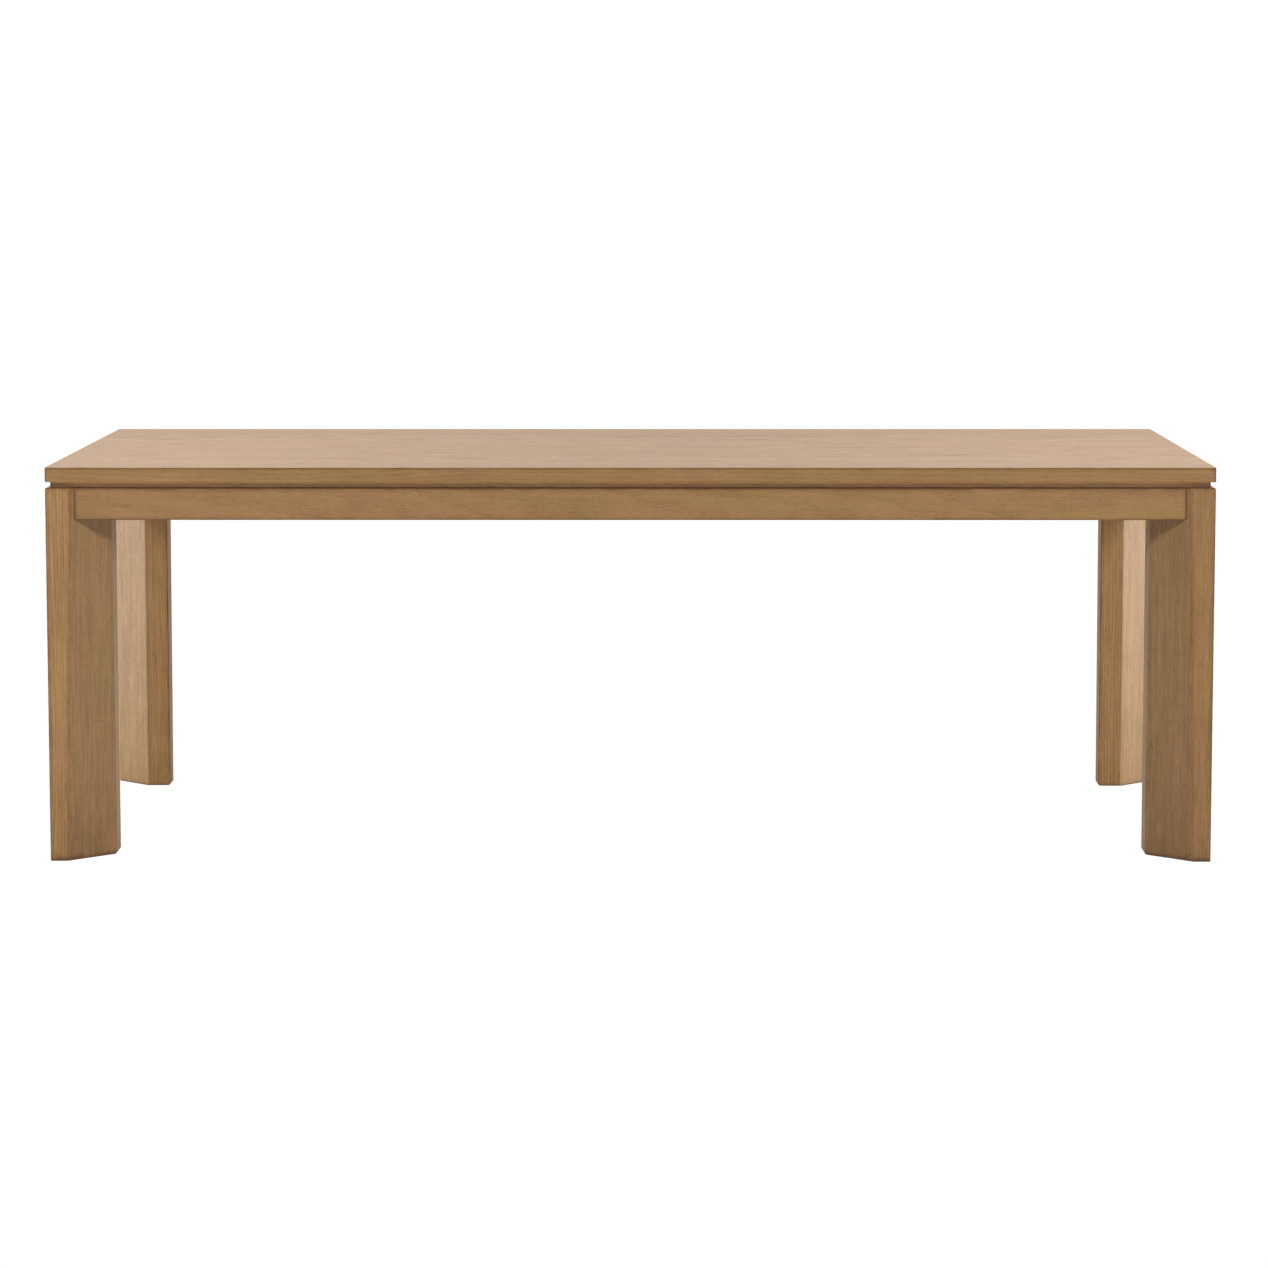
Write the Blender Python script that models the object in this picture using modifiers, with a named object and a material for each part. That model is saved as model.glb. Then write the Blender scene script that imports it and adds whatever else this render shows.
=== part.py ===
"""Communion table: a long oak table that comes apart into its real pieces.

The top is a core board with a solid lipping round it and a face veneer over both. It sits on a
recessed sub-frame of flat strips, which makes the shadow line under the slab. Four aprons run
between four six-sided legs that stand on the diagonal of each corner. Hidden behind the aprons,
a corner block and two hanger bolts with flange nuts hold each leg, two cross rails stiffen the
long sides, and wood screws hold the top. A glide screws into the foot of each leg.

Units are metres and +Z is up. The origin is the middle of the footprint on the floor. +X runs
along the table's length and the front faces -Y.
"""

import math

import bmesh
import bpy
from mathutils import Matrix, Vector

MM = 0.001

# Whole table
LENGTH = 2235 * MM
DEPTH = 1118 * MM
HEIGHT = 762 * MM

# Clearance left between pieces that touch, and round a fastener in its hole
GAP = 0.3 * MM

# Top slab
SLAB_THICKNESS = 28 * MM
VENEER_THICKNESS = 1.5 * MM
LIPPING_WIDTH = 20 * MM
SLAB_CORNER_RADIUS = 2 * MM
SLAB_ARRIS_RADIUS = 1 * MM

# Recessed sub-frame under the slab
STRIP_HEIGHT = 11 * MM
STRIP_WIDTH = 120 * MM
STRIP_INSET = 9.5 * MM

# Aprons
APRON_HEIGHT = 61 * MM
APRON_THICKNESS = 22 * MM
APRON_INSET = 7.5 * MM
APRON_SHADOW_GAP = 1 * MM
APRON_END_GAP = 1 * MM
APRON_EDGE_RADIUS = 1.5 * MM

# Legs, cut from a square post that has its outer corner under the corner of the slab
LEG_WIDTH = 118 * MM
LEG_DEPTH = 143 * MM
LEG_FLAT = 47 * MM
LEG_END_FLAT = 72 * MM
LEG_FLAT_AT_FLOOR = 33.5 * MM
LEG_LIFT = 1.5 * MM
LEG_EDGE_RADIUS = 2.5 * MM
LEG_FOOT_RADIUS = 6 * MM

# Corner blocks, measured along the diagonal from the outer corner of the slab
BLOCK_START = 149.2 * MM
BLOCK_THICKNESS = 25 * MM
BLOCK_HEIGHT = 54 * MM
BLOCK_EDGE_RADIUS = 1 * MM

# Cross rails under the slab
RAIL_WIDTH = 60 * MM
RAIL_HEIGHT = 44 * MM
RAIL_OFFSET = LENGTH / 6

# Hanger bolts and flange nuts
BOLT_RADIUS = 4 * MM
BOLT_IN_LEG = 46 * MM
BOLT_PAST_BLOCK = 15 * MM
BOLT_FROM_TOP = (17 * MM, 41 * MM)
NUT_ACROSS_FLATS = 13 * MM
NUT_HEIGHT = 8 * MM
NUT_FLANGE_RADIUS = 9 * MM
NUT_FLANGE_HEIGHT = 1.8 * MM

# Wood screws that hold the top
SCREW_LENGTH = 45 * MM
SCREW_SHANK_RADIUS = 2.5 * MM
SCREW_HEAD_RADIUS = 4.8 * MM
SCREW_HEAD_HEIGHT = 3.2 * MM
SCREW_TIP_LENGTH = 7 * MM
SCREW_IN_CORE = 18 * MM
SCREW_COUNTERBORE_RADIUS = 6 * MM
SCREW_AT_BLOCK = (149.7 * MM, 79 * MM)
SCREW_ON_RAIL = 330 * MM

# Floor glide: a pad that swivels on an M8 stem, which turns in an insert in the leg's foot
GLIDE_POSITION = (56 * MM, 62.5 * MM)
PAD_RADIUS = 15 * MM
PAD_HEIGHT = 6 * MM
PAD_SOCKET_DEPTH = 3.5 * MM
PAD_SOCKET_RADIUS = 5.5 * MM
STEM_RADIUS = 3.9 * MM
STEM_FOOT_RADIUS = 5 * MM
STEM_LENGTH = 46 * MM
STEM_COLLAR_FLATS = 13 * MM
STEM_COLLAR_HEIGHT = 4 * MM
INSERT_BARREL_RADIUS = 6 * MM
INSERT_BORE_RADIUS = 4.2 * MM
INSERT_FLANGE_RADIUS = 9 * MM
INSERT_FLANGE_HEIGHT = 1.5 * MM
INSERT_LENGTH = 17 * MM
INSERT_BOTTOM = 11 * MM
FOOT_RECESS_RADIUS = 17 * MM
FOOT_BORE_DEPTH = 58 * MM

# Heights that follow from the sizes above
SLAB_BOTTOM = HEIGHT - SLAB_THICKNESS
CORE_TOP = HEIGHT - VENEER_THICKNESS - GAP
STRIP_BOTTOM = SLAB_BOTTOM - STRIP_HEIGHT
STRIP_TOP = SLAB_BOTTOM - GAP
LEG_TOP = STRIP_BOTTOM - GAP
APRON_TOP = STRIP_BOTTOM - APRON_SHADOW_GAP
APRON_BOTTOM = APRON_TOP - APRON_HEIGHT
APRON_BACK = APRON_INSET + APRON_THICKNESS
SCREW_HEAD_SEAT = SLAB_BOTTOM + SCREW_IN_CORE - SCREW_LENGTH

ROUND_STEPS = 16
WIDE_ROUND_STEPS = 24
CORNERS = {
    "front_left": (-1, -1),
    "front_right": (1, -1),
    "back_left": (-1, 1),
    "back_right": (1, 1),
}

# Colour, roughness and metallic value of each kind of part
FINISHES = {
    "face_veneer": ((0.54, 0.40, 0.28), 0.45, 0.0),
    "core_board": ((0.46, 0.36, 0.25), 0.80, 0.0),
    "lipping": ((0.45, 0.31, 0.19), 0.45, 0.0),
    "reveal_strip": ((0.36, 0.24, 0.15), 0.55, 0.0),
    "apron": ((0.44, 0.30, 0.18), 0.48, 0.0),
    "leg": ((0.46, 0.32, 0.19), 0.48, 0.0),
    "corner_block": ((0.62, 0.49, 0.33), 0.75, 0.0),
    "cross_rail": ((0.62, 0.49, 0.33), 0.75, 0.0),
    "zinc_bolt": ((0.66, 0.66, 0.64), 0.35, 1.0),
    "zinc_nut": ((0.70, 0.70, 0.68), 0.32, 1.0),
    "wood_screw": ((0.62, 0.55, 0.36), 0.35, 1.0),
    "steel_insert": ((0.55, 0.55, 0.55), 0.40, 1.0),
    "glide_stem": ((0.66, 0.66, 0.64), 0.35, 1.0),
    "glide_pad": ((0.05, 0.045, 0.04), 0.60, 0.0),
}


# Scene, collections and materials


def clear_scene():
    for old in list(bpy.data.objects):
        bpy.data.objects.remove(old)


def new_collection(name):
    collection = bpy.data.collections.new(name)
    bpy.context.scene.collection.children.link(collection)
    return collection


def finish_material(kind):
    """The material of a kind of part, made the first time it is asked for."""
    if kind in bpy.data.materials:
        return bpy.data.materials[kind]
    color, roughness, metallic = FINISHES[kind]
    material = bpy.data.materials.new(kind)
    material.use_nodes = True
    shader = material.node_tree.nodes["Principled BSDF"]
    shader.inputs["Base Color"].default_value = (*color, 1)
    shader.inputs["Roughness"].default_value = roughness
    shader.inputs["Metallic"].default_value = metallic
    return material


clear_scene()
TABLE = new_collection("communion_table")
CUTTERS = new_collection("cutters")


def add_part(name, mesh, kind, location=(0, 0, 0), parent=None):
    part = bpy.data.objects.new(name, mesh)
    TABLE.objects.link(part)
    part.location = location
    part.parent = parent
    if not mesh.materials:
        mesh.materials.append(finish_material(kind))
    return part


def add_cutter(name, mesh, location=(0, 0, 0), parent=None):
    cutter = bpy.data.objects.new(name, mesh)
    CUTTERS.objects.link(cutter)
    cutter.location = location
    cutter.parent = parent
    cutter.hide_render = True
    cutter.display_type = "WIRE"
    return cutter


def add_empty(name, location, turn=0.0):
    empty = bpy.data.objects.new(name, None)
    TABLE.objects.link(empty)
    empty.location = location
    empty.rotation_euler.z = turn
    return empty


# Mesh building


def to_mesh(shape, name):
    mesh = bpy.data.meshes.new(name)
    shape.to_mesh(mesh)
    shape.free()
    return mesh


def box_between(low, high):
    """A box given by its lowest and highest corners."""
    low = Vector(low)
    high = Vector(high)
    shape = bmesh.new()
    bmesh.ops.create_cube(shape, size=1)
    bmesh.ops.scale(shape, vec=high - low, verts=shape.verts)
    bmesh.ops.translate(shape, vec=(low + high) / 2, verts=shape.verts)
    return shape


def bar(radius, length, sides, start=0.0):
    """A round or many-sided bar along +Z that begins at the height start."""
    shape = bmesh.new()
    middle = Matrix.Translation((0, 0, start + length / 2))
    bmesh.ops.create_cone(
        shape,
        cap_ends=True,
        segments=sides,
        radius1=radius,
        radius2=radius,
        depth=length,
        matrix=middle,
    )
    return shape


def hexagon_radius(across_flats):
    return across_flats / math.sqrt(3)


def slice_off(shape, point, normal):
    """Removes what lies on the normal's side of a plane and closes the cut."""
    whole = shape.verts[:] + shape.edges[:] + shape.faces[:]
    cut = bmesh.ops.bisect_plane(
        shape,
        geom=whole,
        plane_co=point,
        plane_no=normal,
        clear_outer=True,
    )
    rim = [item for item in cut["geom_cut"] if isinstance(item, bmesh.types.BMEdge)]
    bmesh.ops.contextual_create(shape, geom=rim)


def round_edges(shape, edges, radius, segments=2):
    bmesh.ops.bevel(
        shape,
        geom=edges,
        offset=radius,
        segments=segments,
        profile=0.5,
        affect="EDGES",
        clamp_overlap=True,
    )


def upright_edges(shape):
    return [e for e in shape.edges if abs((e.verts[0].co - e.verts[1].co).z) > MM]


def edges_at_height(shape, height):
    return [e for e in shape.edges if all(abs(v.co.z - height) < GAP / 2 for v in e.verts)]


def turned_mesh(name, profile, steps, closed=False):
    """A turned mesh from a profile of (radius, height) points that runs down its outer side."""
    outline = bmesh.new()
    points = [outline.verts.new((radius, 0, height)) for radius, height in profile]
    for first, second in zip(points, points[1:]):
        outline.edges.new((first, second))
    if closed:
        outline.edges.new((points[-1], points[0]))
    blank = bpy.data.objects.new(name, to_mesh(outline, name + "_profile"))
    TABLE.objects.link(blank)
    screw = blank.modifiers.new("turn", "SCREW")
    screw.axis = "Z"
    screw.steps = steps
    screw.render_steps = steps
    screw.use_merge_vertices = True
    screw.merge_threshold = MM / 100
    return evaluated_mesh(blank, name)


def evaluated_mesh(blank, name):
    """The mesh that an object's modifiers give; the object itself is then removed."""
    graph = bpy.context.evaluated_depsgraph_get()
    mesh = bpy.data.meshes.new_from_object(blank.evaluated_get(graph))
    mesh.name = name
    bpy.data.objects.remove(blank)
    return mesh


def joined_mesh(name, base, added, removed=None):
    """Base united with added, less removed, as one mesh."""
    blank = bpy.data.objects.new(name, base)
    TABLE.objects.link(blank)
    tools = [(added, "UNION")]
    if removed:
        tools.append((removed, "DIFFERENCE"))
    helpers = []
    for mesh, operation in tools:
        helper = bpy.data.objects.new(name + "_" + operation.lower(), mesh)
        CUTTERS.objects.link(helper)
        helpers.append(helper)
        boolean = blank.modifiers.new(operation.lower(), "BOOLEAN")
        boolean.operation = operation
        boolean.object = helper
    result = evaluated_mesh(blank, name)
    for helper in helpers:
        bpy.data.objects.remove(helper)
    return result


def shade_round(mesh):
    mesh.shade_smooth()
    mesh.set_sharp_from_angle(angle=math.radians(35))
    return mesh


def cut(part, *cutters):
    for cutter in cutters:
        boolean = part.modifiers.new("cut_" + cutter.name, "BOOLEAN")
        boolean.operation = "DIFFERENCE"
        boolean.object = cutter


# Places on the table


def corner_origin(corner):
    """The outer corner of the slab above the floor: where a leg's corner frame starts."""
    side_x, side_y = CORNERS[corner]
    return Vector((side_x * LENGTH / 2, side_y * DEPTH / 2, 0))


def inward(corner):
    """Turns corner frame directions, which run in from the corner, into table directions."""
    side_x, side_y = CORNERS[corner]
    return Matrix.Diagonal((-side_x, -side_y, 1))


def at_corner(corner, x, y, z=0.0):
    """The table position of a point given in a corner frame."""
    return corner_origin(corner) + inward(corner) @ Vector((x, y, z))


def oblique_face(faces_long_side):
    """A point and outward normal of a leg's oblique face, in the corner frame.

    The face towards the long side leans out to the foot; the one towards the end is upright.
    """
    if not faces_long_side:
        return Vector((0, LEG_END_FLAT, STRIP_BOTTOM)), Vector((-1, 1, 0)).normalized()
    top = Vector((LEG_FLAT, 0, STRIP_BOTTOM))
    floor = Vector((LEG_FLAT_AT_FLOOR, 0, 0))
    normal = Vector((1, 1, 0)).cross(top - floor).normalized()
    return top, normal * math.copysign(1, normal.x)


def ring_side(name, side, outer_inset, width, low, high, corner_radius=0.0, arris_radius=0.0):
    """One mitred side of a flat rectangular frame, rounded at its corners and lower arris."""
    half_x = LENGTH / 2 - outer_inset
    half_y = DEPTH / 2 - outer_inset
    shape = box_between((-half_x, -half_y, low), (half_x, half_y, high))
    if corner_radius:
        round_edges(shape, upright_edges(shape), corner_radius)
    if arris_radius:
        round_edges(shape, edges_at_height(shape, low), arris_radius)
    side_x, side_y = side
    along = Vector((abs(side_y), abs(side_x), 0))
    outward = Vector((side_x, side_y, 0))
    reach = half_x if side_x else half_y
    slice_off(shape, outward * (reach - width), -outward)
    for end in (-1, 1):
        corner = outward * reach + along * end * (half_y if side_x else half_x)
        mitre = (along * end - outward).normalized()
        slice_off(shape, corner - mitre * GAP / 2, mitre)
    return to_mesh(shape, name)


SIDES = {"front": (0, -1), "back": (0, 1), "left": (-1, 0), "right": (1, 0)}


# Top


def make_top_veneer():
    low = (-LENGTH / 2, -DEPTH / 2, HEIGHT - VENEER_THICKNESS)
    shape = box_between(low, (LENGTH / 2, DEPTH / 2, HEIGHT))
    round_edges(shape, upright_edges(shape), SLAB_CORNER_RADIUS)
    round_edges(shape, edges_at_height(shape, HEIGHT), SLAB_ARRIS_RADIUS)
    add_part("top_veneer", to_mesh(shape, "top_veneer"), "face_veneer")


def make_top_core(screw_bores):
    half_x = LENGTH / 2 - LIPPING_WIDTH - GAP
    half_y = DEPTH / 2 - LIPPING_WIDTH - GAP
    shape = box_between((-half_x, -half_y, SLAB_BOTTOM), (half_x, half_y, CORE_TOP))
    core = add_part("top_core", to_mesh(shape, "top_core"), "core_board")
    cut(core, *screw_bores.values())


def make_lippings():
    for name, side in SIDES.items():
        mesh = ring_side(
            "lipping_" + name,
            side,
            0,
            LIPPING_WIDTH,
            SLAB_BOTTOM,
            CORE_TOP,
            SLAB_CORNER_RADIUS,
            SLAB_ARRIS_RADIUS,
        )
        add_part("lipping_" + name, mesh, "lipping")


def make_reveal_strips(screw_bores):
    for name, side in SIDES.items():
        title = "reveal_strip_" + name
        mesh = ring_side(title, side, STRIP_INSET, STRIP_WIDTH, STRIP_BOTTOM, STRIP_TOP)
        strip = add_part(title, mesh, "reveal_strip")
        if name in ("front", "back"):
            cut(strip, *[screw_bores[corner] for corner in CORNERS if name in corner])


# Aprons and rails


def make_aprons():
    """Each apron runs between the oblique faces of the two legs at its ends."""
    for name, side in SIDES.items():
        side_x, side_y = side
        half_x = LENGTH / 2 - APRON_INSET
        half_y = DEPTH / 2 - APRON_INSET
        low = Vector((-half_x, -half_y, APRON_BOTTOM))
        high = Vector((half_x, half_y, APRON_TOP))
        if side_x:
            low.x = min(side_x * half_x, side_x * (half_x - APRON_THICKNESS))
            high.x = low.x + APRON_THICKNESS
        else:
            low.y = min(side_y * half_y, side_y * (half_y - APRON_THICKNESS))
            high.y = low.y + APRON_THICKNESS
        shape = box_between(low, high)
        long_axis = 1 if side_x else 0
        long_edges = [
            e
            for e in shape.edges
            if abs((e.verts[0].co - e.verts[1].co)[long_axis]) > APRON_HEIGHT
        ]
        round_edges(shape, long_edges, APRON_EDGE_RADIUS)
        for corner in CORNERS:
            if name not in corner:
                continue
            point, normal = oblique_face(faces_long_side=not side_x)
            point = point + normal * APRON_END_GAP
            slice_off(shape, at_corner(corner, *point), -(inward(corner) @ normal))
        add_part("apron_" + name, to_mesh(shape, "apron_" + name), "apron")


def make_cross_rails(screw_bores):
    """Rails from front apron to back apron, rebated at their ends to pass under the strips."""
    half_y = DEPTH / 2 - APRON_BACK - GAP
    rebate_start = DEPTH / 2 - STRIP_INSET - STRIP_WIDTH - GAP
    for name, side in (("left", -1), ("right", 1)):
        middle = side * RAIL_OFFSET
        low = (-RAIL_WIDTH / 2, -half_y, STRIP_TOP - RAIL_HEIGHT)
        shape = box_between(low, (RAIL_WIDTH / 2, half_y, STRIP_TOP))
        title = "cross_rail_" + name
        rail = add_part(title, to_mesh(shape, title), "cross_rail", (middle, 0, 0))
        for end in (-1, 1):
            near = end * rebate_start
            far = end * (half_y + RAIL_WIDTH)
            rebate = box_between(
                (-RAIL_WIDTH, min(near, far), LEG_TOP),
                (RAIL_WIDTH, max(near, far), HEIGHT),
            )
            title = f"rail_rebate_{name}_{'back' if end > 0 else 'front'}"
            cut(rail, add_cutter(title, to_mesh(rebate, title), (middle, 0, 0)))
        cut(rail, *[bore for place, bore in screw_bores.items() if place.startswith("rail_" + name)])


# Legs


def leg_blank():
    """A leg in its corner frame: a post with its two oblique faces planed off."""
    shape = box_between((0, 0, LEG_LIFT), (LEG_WIDTH, LEG_DEPTH, LEG_TOP))
    for faces_long_side in (True, False):
        point, normal = oblique_face(faces_long_side)
        slice_off(shape, point, normal)
    return shape


def mark_leg_edges(shape):
    """Bevel weights: the foot is rounded most round its inner end, the rest is only eased."""
    weights = shape.edges.layers.float.new("bevel_weight_edge")
    eased = LEG_EDGE_RADIUS / LEG_FOOT_RADIUS
    for edge in shape.edges:
        middle = (edge.verts[0].co + edge.verts[1].co) / 2
        at_foot = all(v.co.z < LEG_LIFT + GAP for v in edge.verts)
        at_inner_end = middle.x / LEG_WIDTH + middle.y / LEG_DEPTH > 1.2
        edge[weights] = 1.0 if at_foot and at_inner_end else eased


def make_leg(corner):
    shape = leg_blank()
    mark_leg_edges(shape)
    frame = inward(corner)
    shape.transform(frame.to_4x4())
    if frame.determinant() < 0:
        bmesh.ops.reverse_faces(shape, faces=shape.faces)
    title = "leg_" + corner
    leg = add_part(title, to_mesh(shape, title), "leg", corner_origin(corner))
    bevel = leg.modifiers.new("eased_edges", "BEVEL")
    bevel.limit_method = "WEIGHT"
    bevel.width = LEG_FOOT_RADIUS
    bevel.segments = 3
    return leg


# Corner hardware, placed on an empty whose +X points in along the diagonal


def make_corner_frame(corner):
    side_x, side_y = CORNERS[corner]
    turn = math.atan2(-side_y, -side_x)
    return add_empty("corner_frame_" + corner, corner_origin(corner), turn)


def block_mesh():
    """A corner block in the diagonal frame, its ends cut to meet the backs of two aprons."""
    middle = BLOCK_START + BLOCK_THICKNESS / 2
    low = (BLOCK_START, -middle * 2, LEG_TOP - BLOCK_HEIGHT)
    shape = box_between(low, (BLOCK_START + BLOCK_THICKNESS, middle * 2, LEG_TOP))
    for side in (-1, 1):
        towards_apron = Vector((-1, side, 0)).normalized()
        slice_off(shape, towards_apron * -(APRON_BACK + GAP), towards_apron)
    round_edges(shape, edges_at_height(shape, LEG_TOP - BLOCK_HEIGHT), BLOCK_EDGE_RADIUS, 1)
    return to_mesh(shape, "corner_block")


def bolt_bore_mesh():
    reach = BLOCK_THICKNESS + BOLT_PAST_BLOCK
    length = BOLT_IN_LEG + GAP * 4 + reach
    shape = bar(BOLT_RADIUS + GAP, length, ROUND_STEPS, -BOLT_IN_LEG - GAP * 4)
    return to_mesh(shape, "bolt_bore")


def bolt_mesh():
    """A hanger bolt along +Z: pointed in the leg, chamfered past the block."""
    tip = -BOLT_IN_LEG
    end = BLOCK_THICKNESS + BOLT_PAST_BLOCK
    chamfer = BOLT_RADIUS / 4
    profile = [
        (0, end),
        (BOLT_RADIUS - chamfer, end),
        (BOLT_RADIUS, end - chamfer),
        (BOLT_RADIUS, tip + BOLT_RADIUS * 2),
        (chamfer, tip),
        (0, tip),
    ]
    return shade_round(turned_mesh("hanger_bolt", profile, ROUND_STEPS))


def nut_mesh():
    """A flange nut along +Z, its flange at the block's face."""
    flange = bar(NUT_FLANGE_RADIUS, NUT_FLANGE_HEIGHT, WIDE_ROUND_STEPS)
    body = bar(hexagon_radius(NUT_ACROSS_FLATS), NUT_HEIGHT - GAP, 6, GAP)
    bore = bar(BOLT_RADIUS + GAP, NUT_HEIGHT * 2, ROUND_STEPS, -NUT_HEIGHT / 2)
    return joined_mesh(
        "flange_nut",
        to_mesh(flange, "nut_flange"),
        to_mesh(body, "nut_body"),
        to_mesh(bore, "nut_bore"),
    )


def make_corner_block(corner, frame, mesh):
    return add_part("corner_block_" + corner, mesh.copy(), "corner_block", parent=frame)


def make_leg_fixings(corner, frame, leg, block, bolt, nut):
    """The notch for the block, and two hanger bolts with their nuts through leg and block."""
    notch_low = (BLOCK_START - GAP, -LEG_WIDTH, LEG_TOP - BLOCK_HEIGHT - APRON_EDGE_RADIUS)
    notch = box_between(notch_low, (BLOCK_START + LEG_WIDTH, LEG_WIDTH, HEIGHT))
    title = "leg_notch_" + corner
    cut(leg, add_cutter(title, to_mesh(notch, title), parent=frame))
    for level, below in zip(("upper", "lower"), BOLT_FROM_TOP):
        height = LEG_TOP - below
        bore = add_cutter(
            f"bolt_bore_{corner}_{level}", bolt_bore_mesh(), (BLOCK_START, 0, height), frame
        )
        bolt_part = add_part(
            f"hanger_bolt_{corner}_{level}", bolt, "zinc_bolt", (BLOCK_START, 0, height), frame
        )
        nut_place = (BLOCK_START + BLOCK_THICKNESS + GAP, 0, height)
        nut_part = add_part(f"flange_nut_{corner}_{level}", nut, "zinc_nut", nut_place, frame)
        for piece in (bore, bolt_part, nut_part):
            piece.rotation_euler.y = math.pi / 2
        cut(leg, bore)
        cut(block, bore)


# Screws that hold the top


def screw_places():
    """Table positions of the screws: one in each corner block and two in each cross rail."""
    places = {corner: at_corner(corner, *SCREW_AT_BLOCK) for corner in CORNERS}
    for rail, side_x in (("left", -1), ("right", 1)):
        for end, side_y in (("front", -1), ("back", 1)):
            place = Vector((side_x * RAIL_OFFSET, side_y * SCREW_ON_RAIL, 0))
            places[f"rail_{rail}_{end}"] = place
    return places


def screw_mesh():
    """A round-headed wood screw along +Z, with its head's seat at zero."""
    profile = [
        (0, SCREW_LENGTH),
        (SCREW_SHANK_RADIUS, SCREW_LENGTH - SCREW_TIP_LENGTH),
        (SCREW_SHANK_RADIUS, 0),
        (SCREW_HEAD_RADIUS, 0),
        (SCREW_HEAD_RADIUS * 0.85, -SCREW_HEAD_HEIGHT * 0.6),
        (SCREW_HEAD_RADIUS * 0.5, -SCREW_HEAD_HEIGHT * 0.95),
        (0, -SCREW_HEAD_HEIGHT),
    ]
    return shade_round(turned_mesh("top_screw", profile, ROUND_STEPS))


def screw_bore_mesh():
    """A stepped bore: a wide counterbore up to the head's seat, then a shank hole."""
    top = SCREW_LENGTH + GAP * 4
    bottom = -BLOCK_HEIGHT
    profile = [
        (0, top),
        (SCREW_SHANK_RADIUS + GAP, top),
        (SCREW_SHANK_RADIUS + GAP, GAP),
        (SCREW_COUNTERBORE_RADIUS, GAP),
        (SCREW_COUNTERBORE_RADIUS, bottom),
        (0, bottom),
    ]
    return turned_mesh("screw_bore", profile, ROUND_STEPS)


def make_screw_bores(places):
    mesh = screw_bore_mesh()
    bores = {}
    for place, position in places.items():
        seat = (position.x, position.y, SCREW_HEAD_SEAT)
        bores[place] = add_cutter("screw_bore_" + place, mesh, seat)
    return bores


def make_screws(places):
    mesh = screw_mesh()
    for place, position in places.items():
        holder = place if place.startswith("rail_") else "block_" + place
        seat = (position.x, position.y, SCREW_HEAD_SEAT)
        add_part("top_screw_" + holder, mesh, "wood_screw", seat)


# Floor glides, each on an empty that stands on the joint axis


def insert_mesh():
    """A flanged steel insert with its flange's underside at zero."""
    profile = [
        (INSERT_BORE_RADIUS, INSERT_LENGTH),
        (INSERT_BARREL_RADIUS, INSERT_LENGTH),
        (INSERT_BARREL_RADIUS, INSERT_FLANGE_HEIGHT),
        (INSERT_FLANGE_RADIUS, INSERT_FLANGE_HEIGHT),
        (INSERT_FLANGE_RADIUS, 0),
        (INSERT_BORE_RADIUS, 0),
    ]
    return shade_round(turned_mesh("foot_insert", profile, WIDE_ROUND_STEPS, closed=True))


def stem_mesh():
    """A threaded stem with a spanner collar and a foot that sits in the pad's socket."""
    foot = PAD_HEIGHT - PAD_SOCKET_DEPTH + GAP
    chamfer = STEM_RADIUS / 4
    neck = PAD_HEIGHT + GAP
    profile = [
        (0, foot + STEM_LENGTH),
        (STEM_RADIUS - chamfer, foot + STEM_LENGTH),
        (STEM_RADIUS, foot + STEM_LENGTH - chamfer),
        (STEM_RADIUS, neck + STEM_COLLAR_HEIGHT / 2),
        (STEM_FOOT_RADIUS, neck + STEM_COLLAR_HEIGHT / 2),
        (STEM_FOOT_RADIUS, foot),
        (0, foot),
    ]
    collar = bar(hexagon_radius(STEM_COLLAR_FLATS), STEM_COLLAR_HEIGHT, 6, neck)
    shaft = turned_mesh("stem_shaft", profile, ROUND_STEPS)
    return joined_mesh("glide_stem", to_mesh(collar, "stem_collar"), shaft)


def pad_mesh():
    """A round pad with a socket in its upper face."""
    edge = PAD_HEIGHT / 6
    profile = [
        (0, PAD_HEIGHT - PAD_SOCKET_DEPTH),
        (PAD_SOCKET_RADIUS, PAD_HEIGHT - PAD_SOCKET_DEPTH),
        (PAD_SOCKET_RADIUS, PAD_HEIGHT),
        (PAD_RADIUS - edge * 2, PAD_HEIGHT),
        (PAD_RADIUS, PAD_HEIGHT - edge * 2),
        (PAD_RADIUS, edge),
        (PAD_RADIUS - edge, 0),
        (0, 0),
    ]
    return shade_round(turned_mesh("glide_pad", profile, WIDE_ROUND_STEPS))


def foot_bore_mesh():
    """The stepped hole in a foot: a recess for pad and flange, the barrel hole, the stem hole."""
    recess_top = INSERT_BOTTOM + INSERT_FLANGE_HEIGHT + GAP
    barrel_top = INSERT_BOTTOM + INSERT_LENGTH + GAP
    profile = [
        (0, FOOT_BORE_DEPTH),
        (STEM_RADIUS + GAP * 2, FOOT_BORE_DEPTH),
        (STEM_RADIUS + GAP * 2, barrel_top),
        (INSERT_BARREL_RADIUS + GAP, barrel_top),
        (INSERT_BARREL_RADIUS + GAP, recess_top),
        (FOOT_RECESS_RADIUS, recess_top),
        (FOOT_RECESS_RADIUS, -LEG_FOOT_RADIUS),
        (0, -LEG_FOOT_RADIUS),
    ]
    return turned_mesh("foot_bore", profile, WIDE_ROUND_STEPS)


def make_glide(corner, leg, insert, stem, pad, bore):
    axis = add_empty("glide_axis_" + corner, at_corner(corner, *GLIDE_POSITION))
    cut(leg, add_cutter("foot_bore_" + corner, bore, parent=axis))
    add_part("foot_insert_" + corner, insert, "steel_insert", (0, 0, INSERT_BOTTOM), axis)
    add_part("glide_stem_" + corner, stem, "glide_stem", parent=axis)
    add_part("glide_pad_" + corner, pad, "glide_pad", parent=axis)


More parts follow.
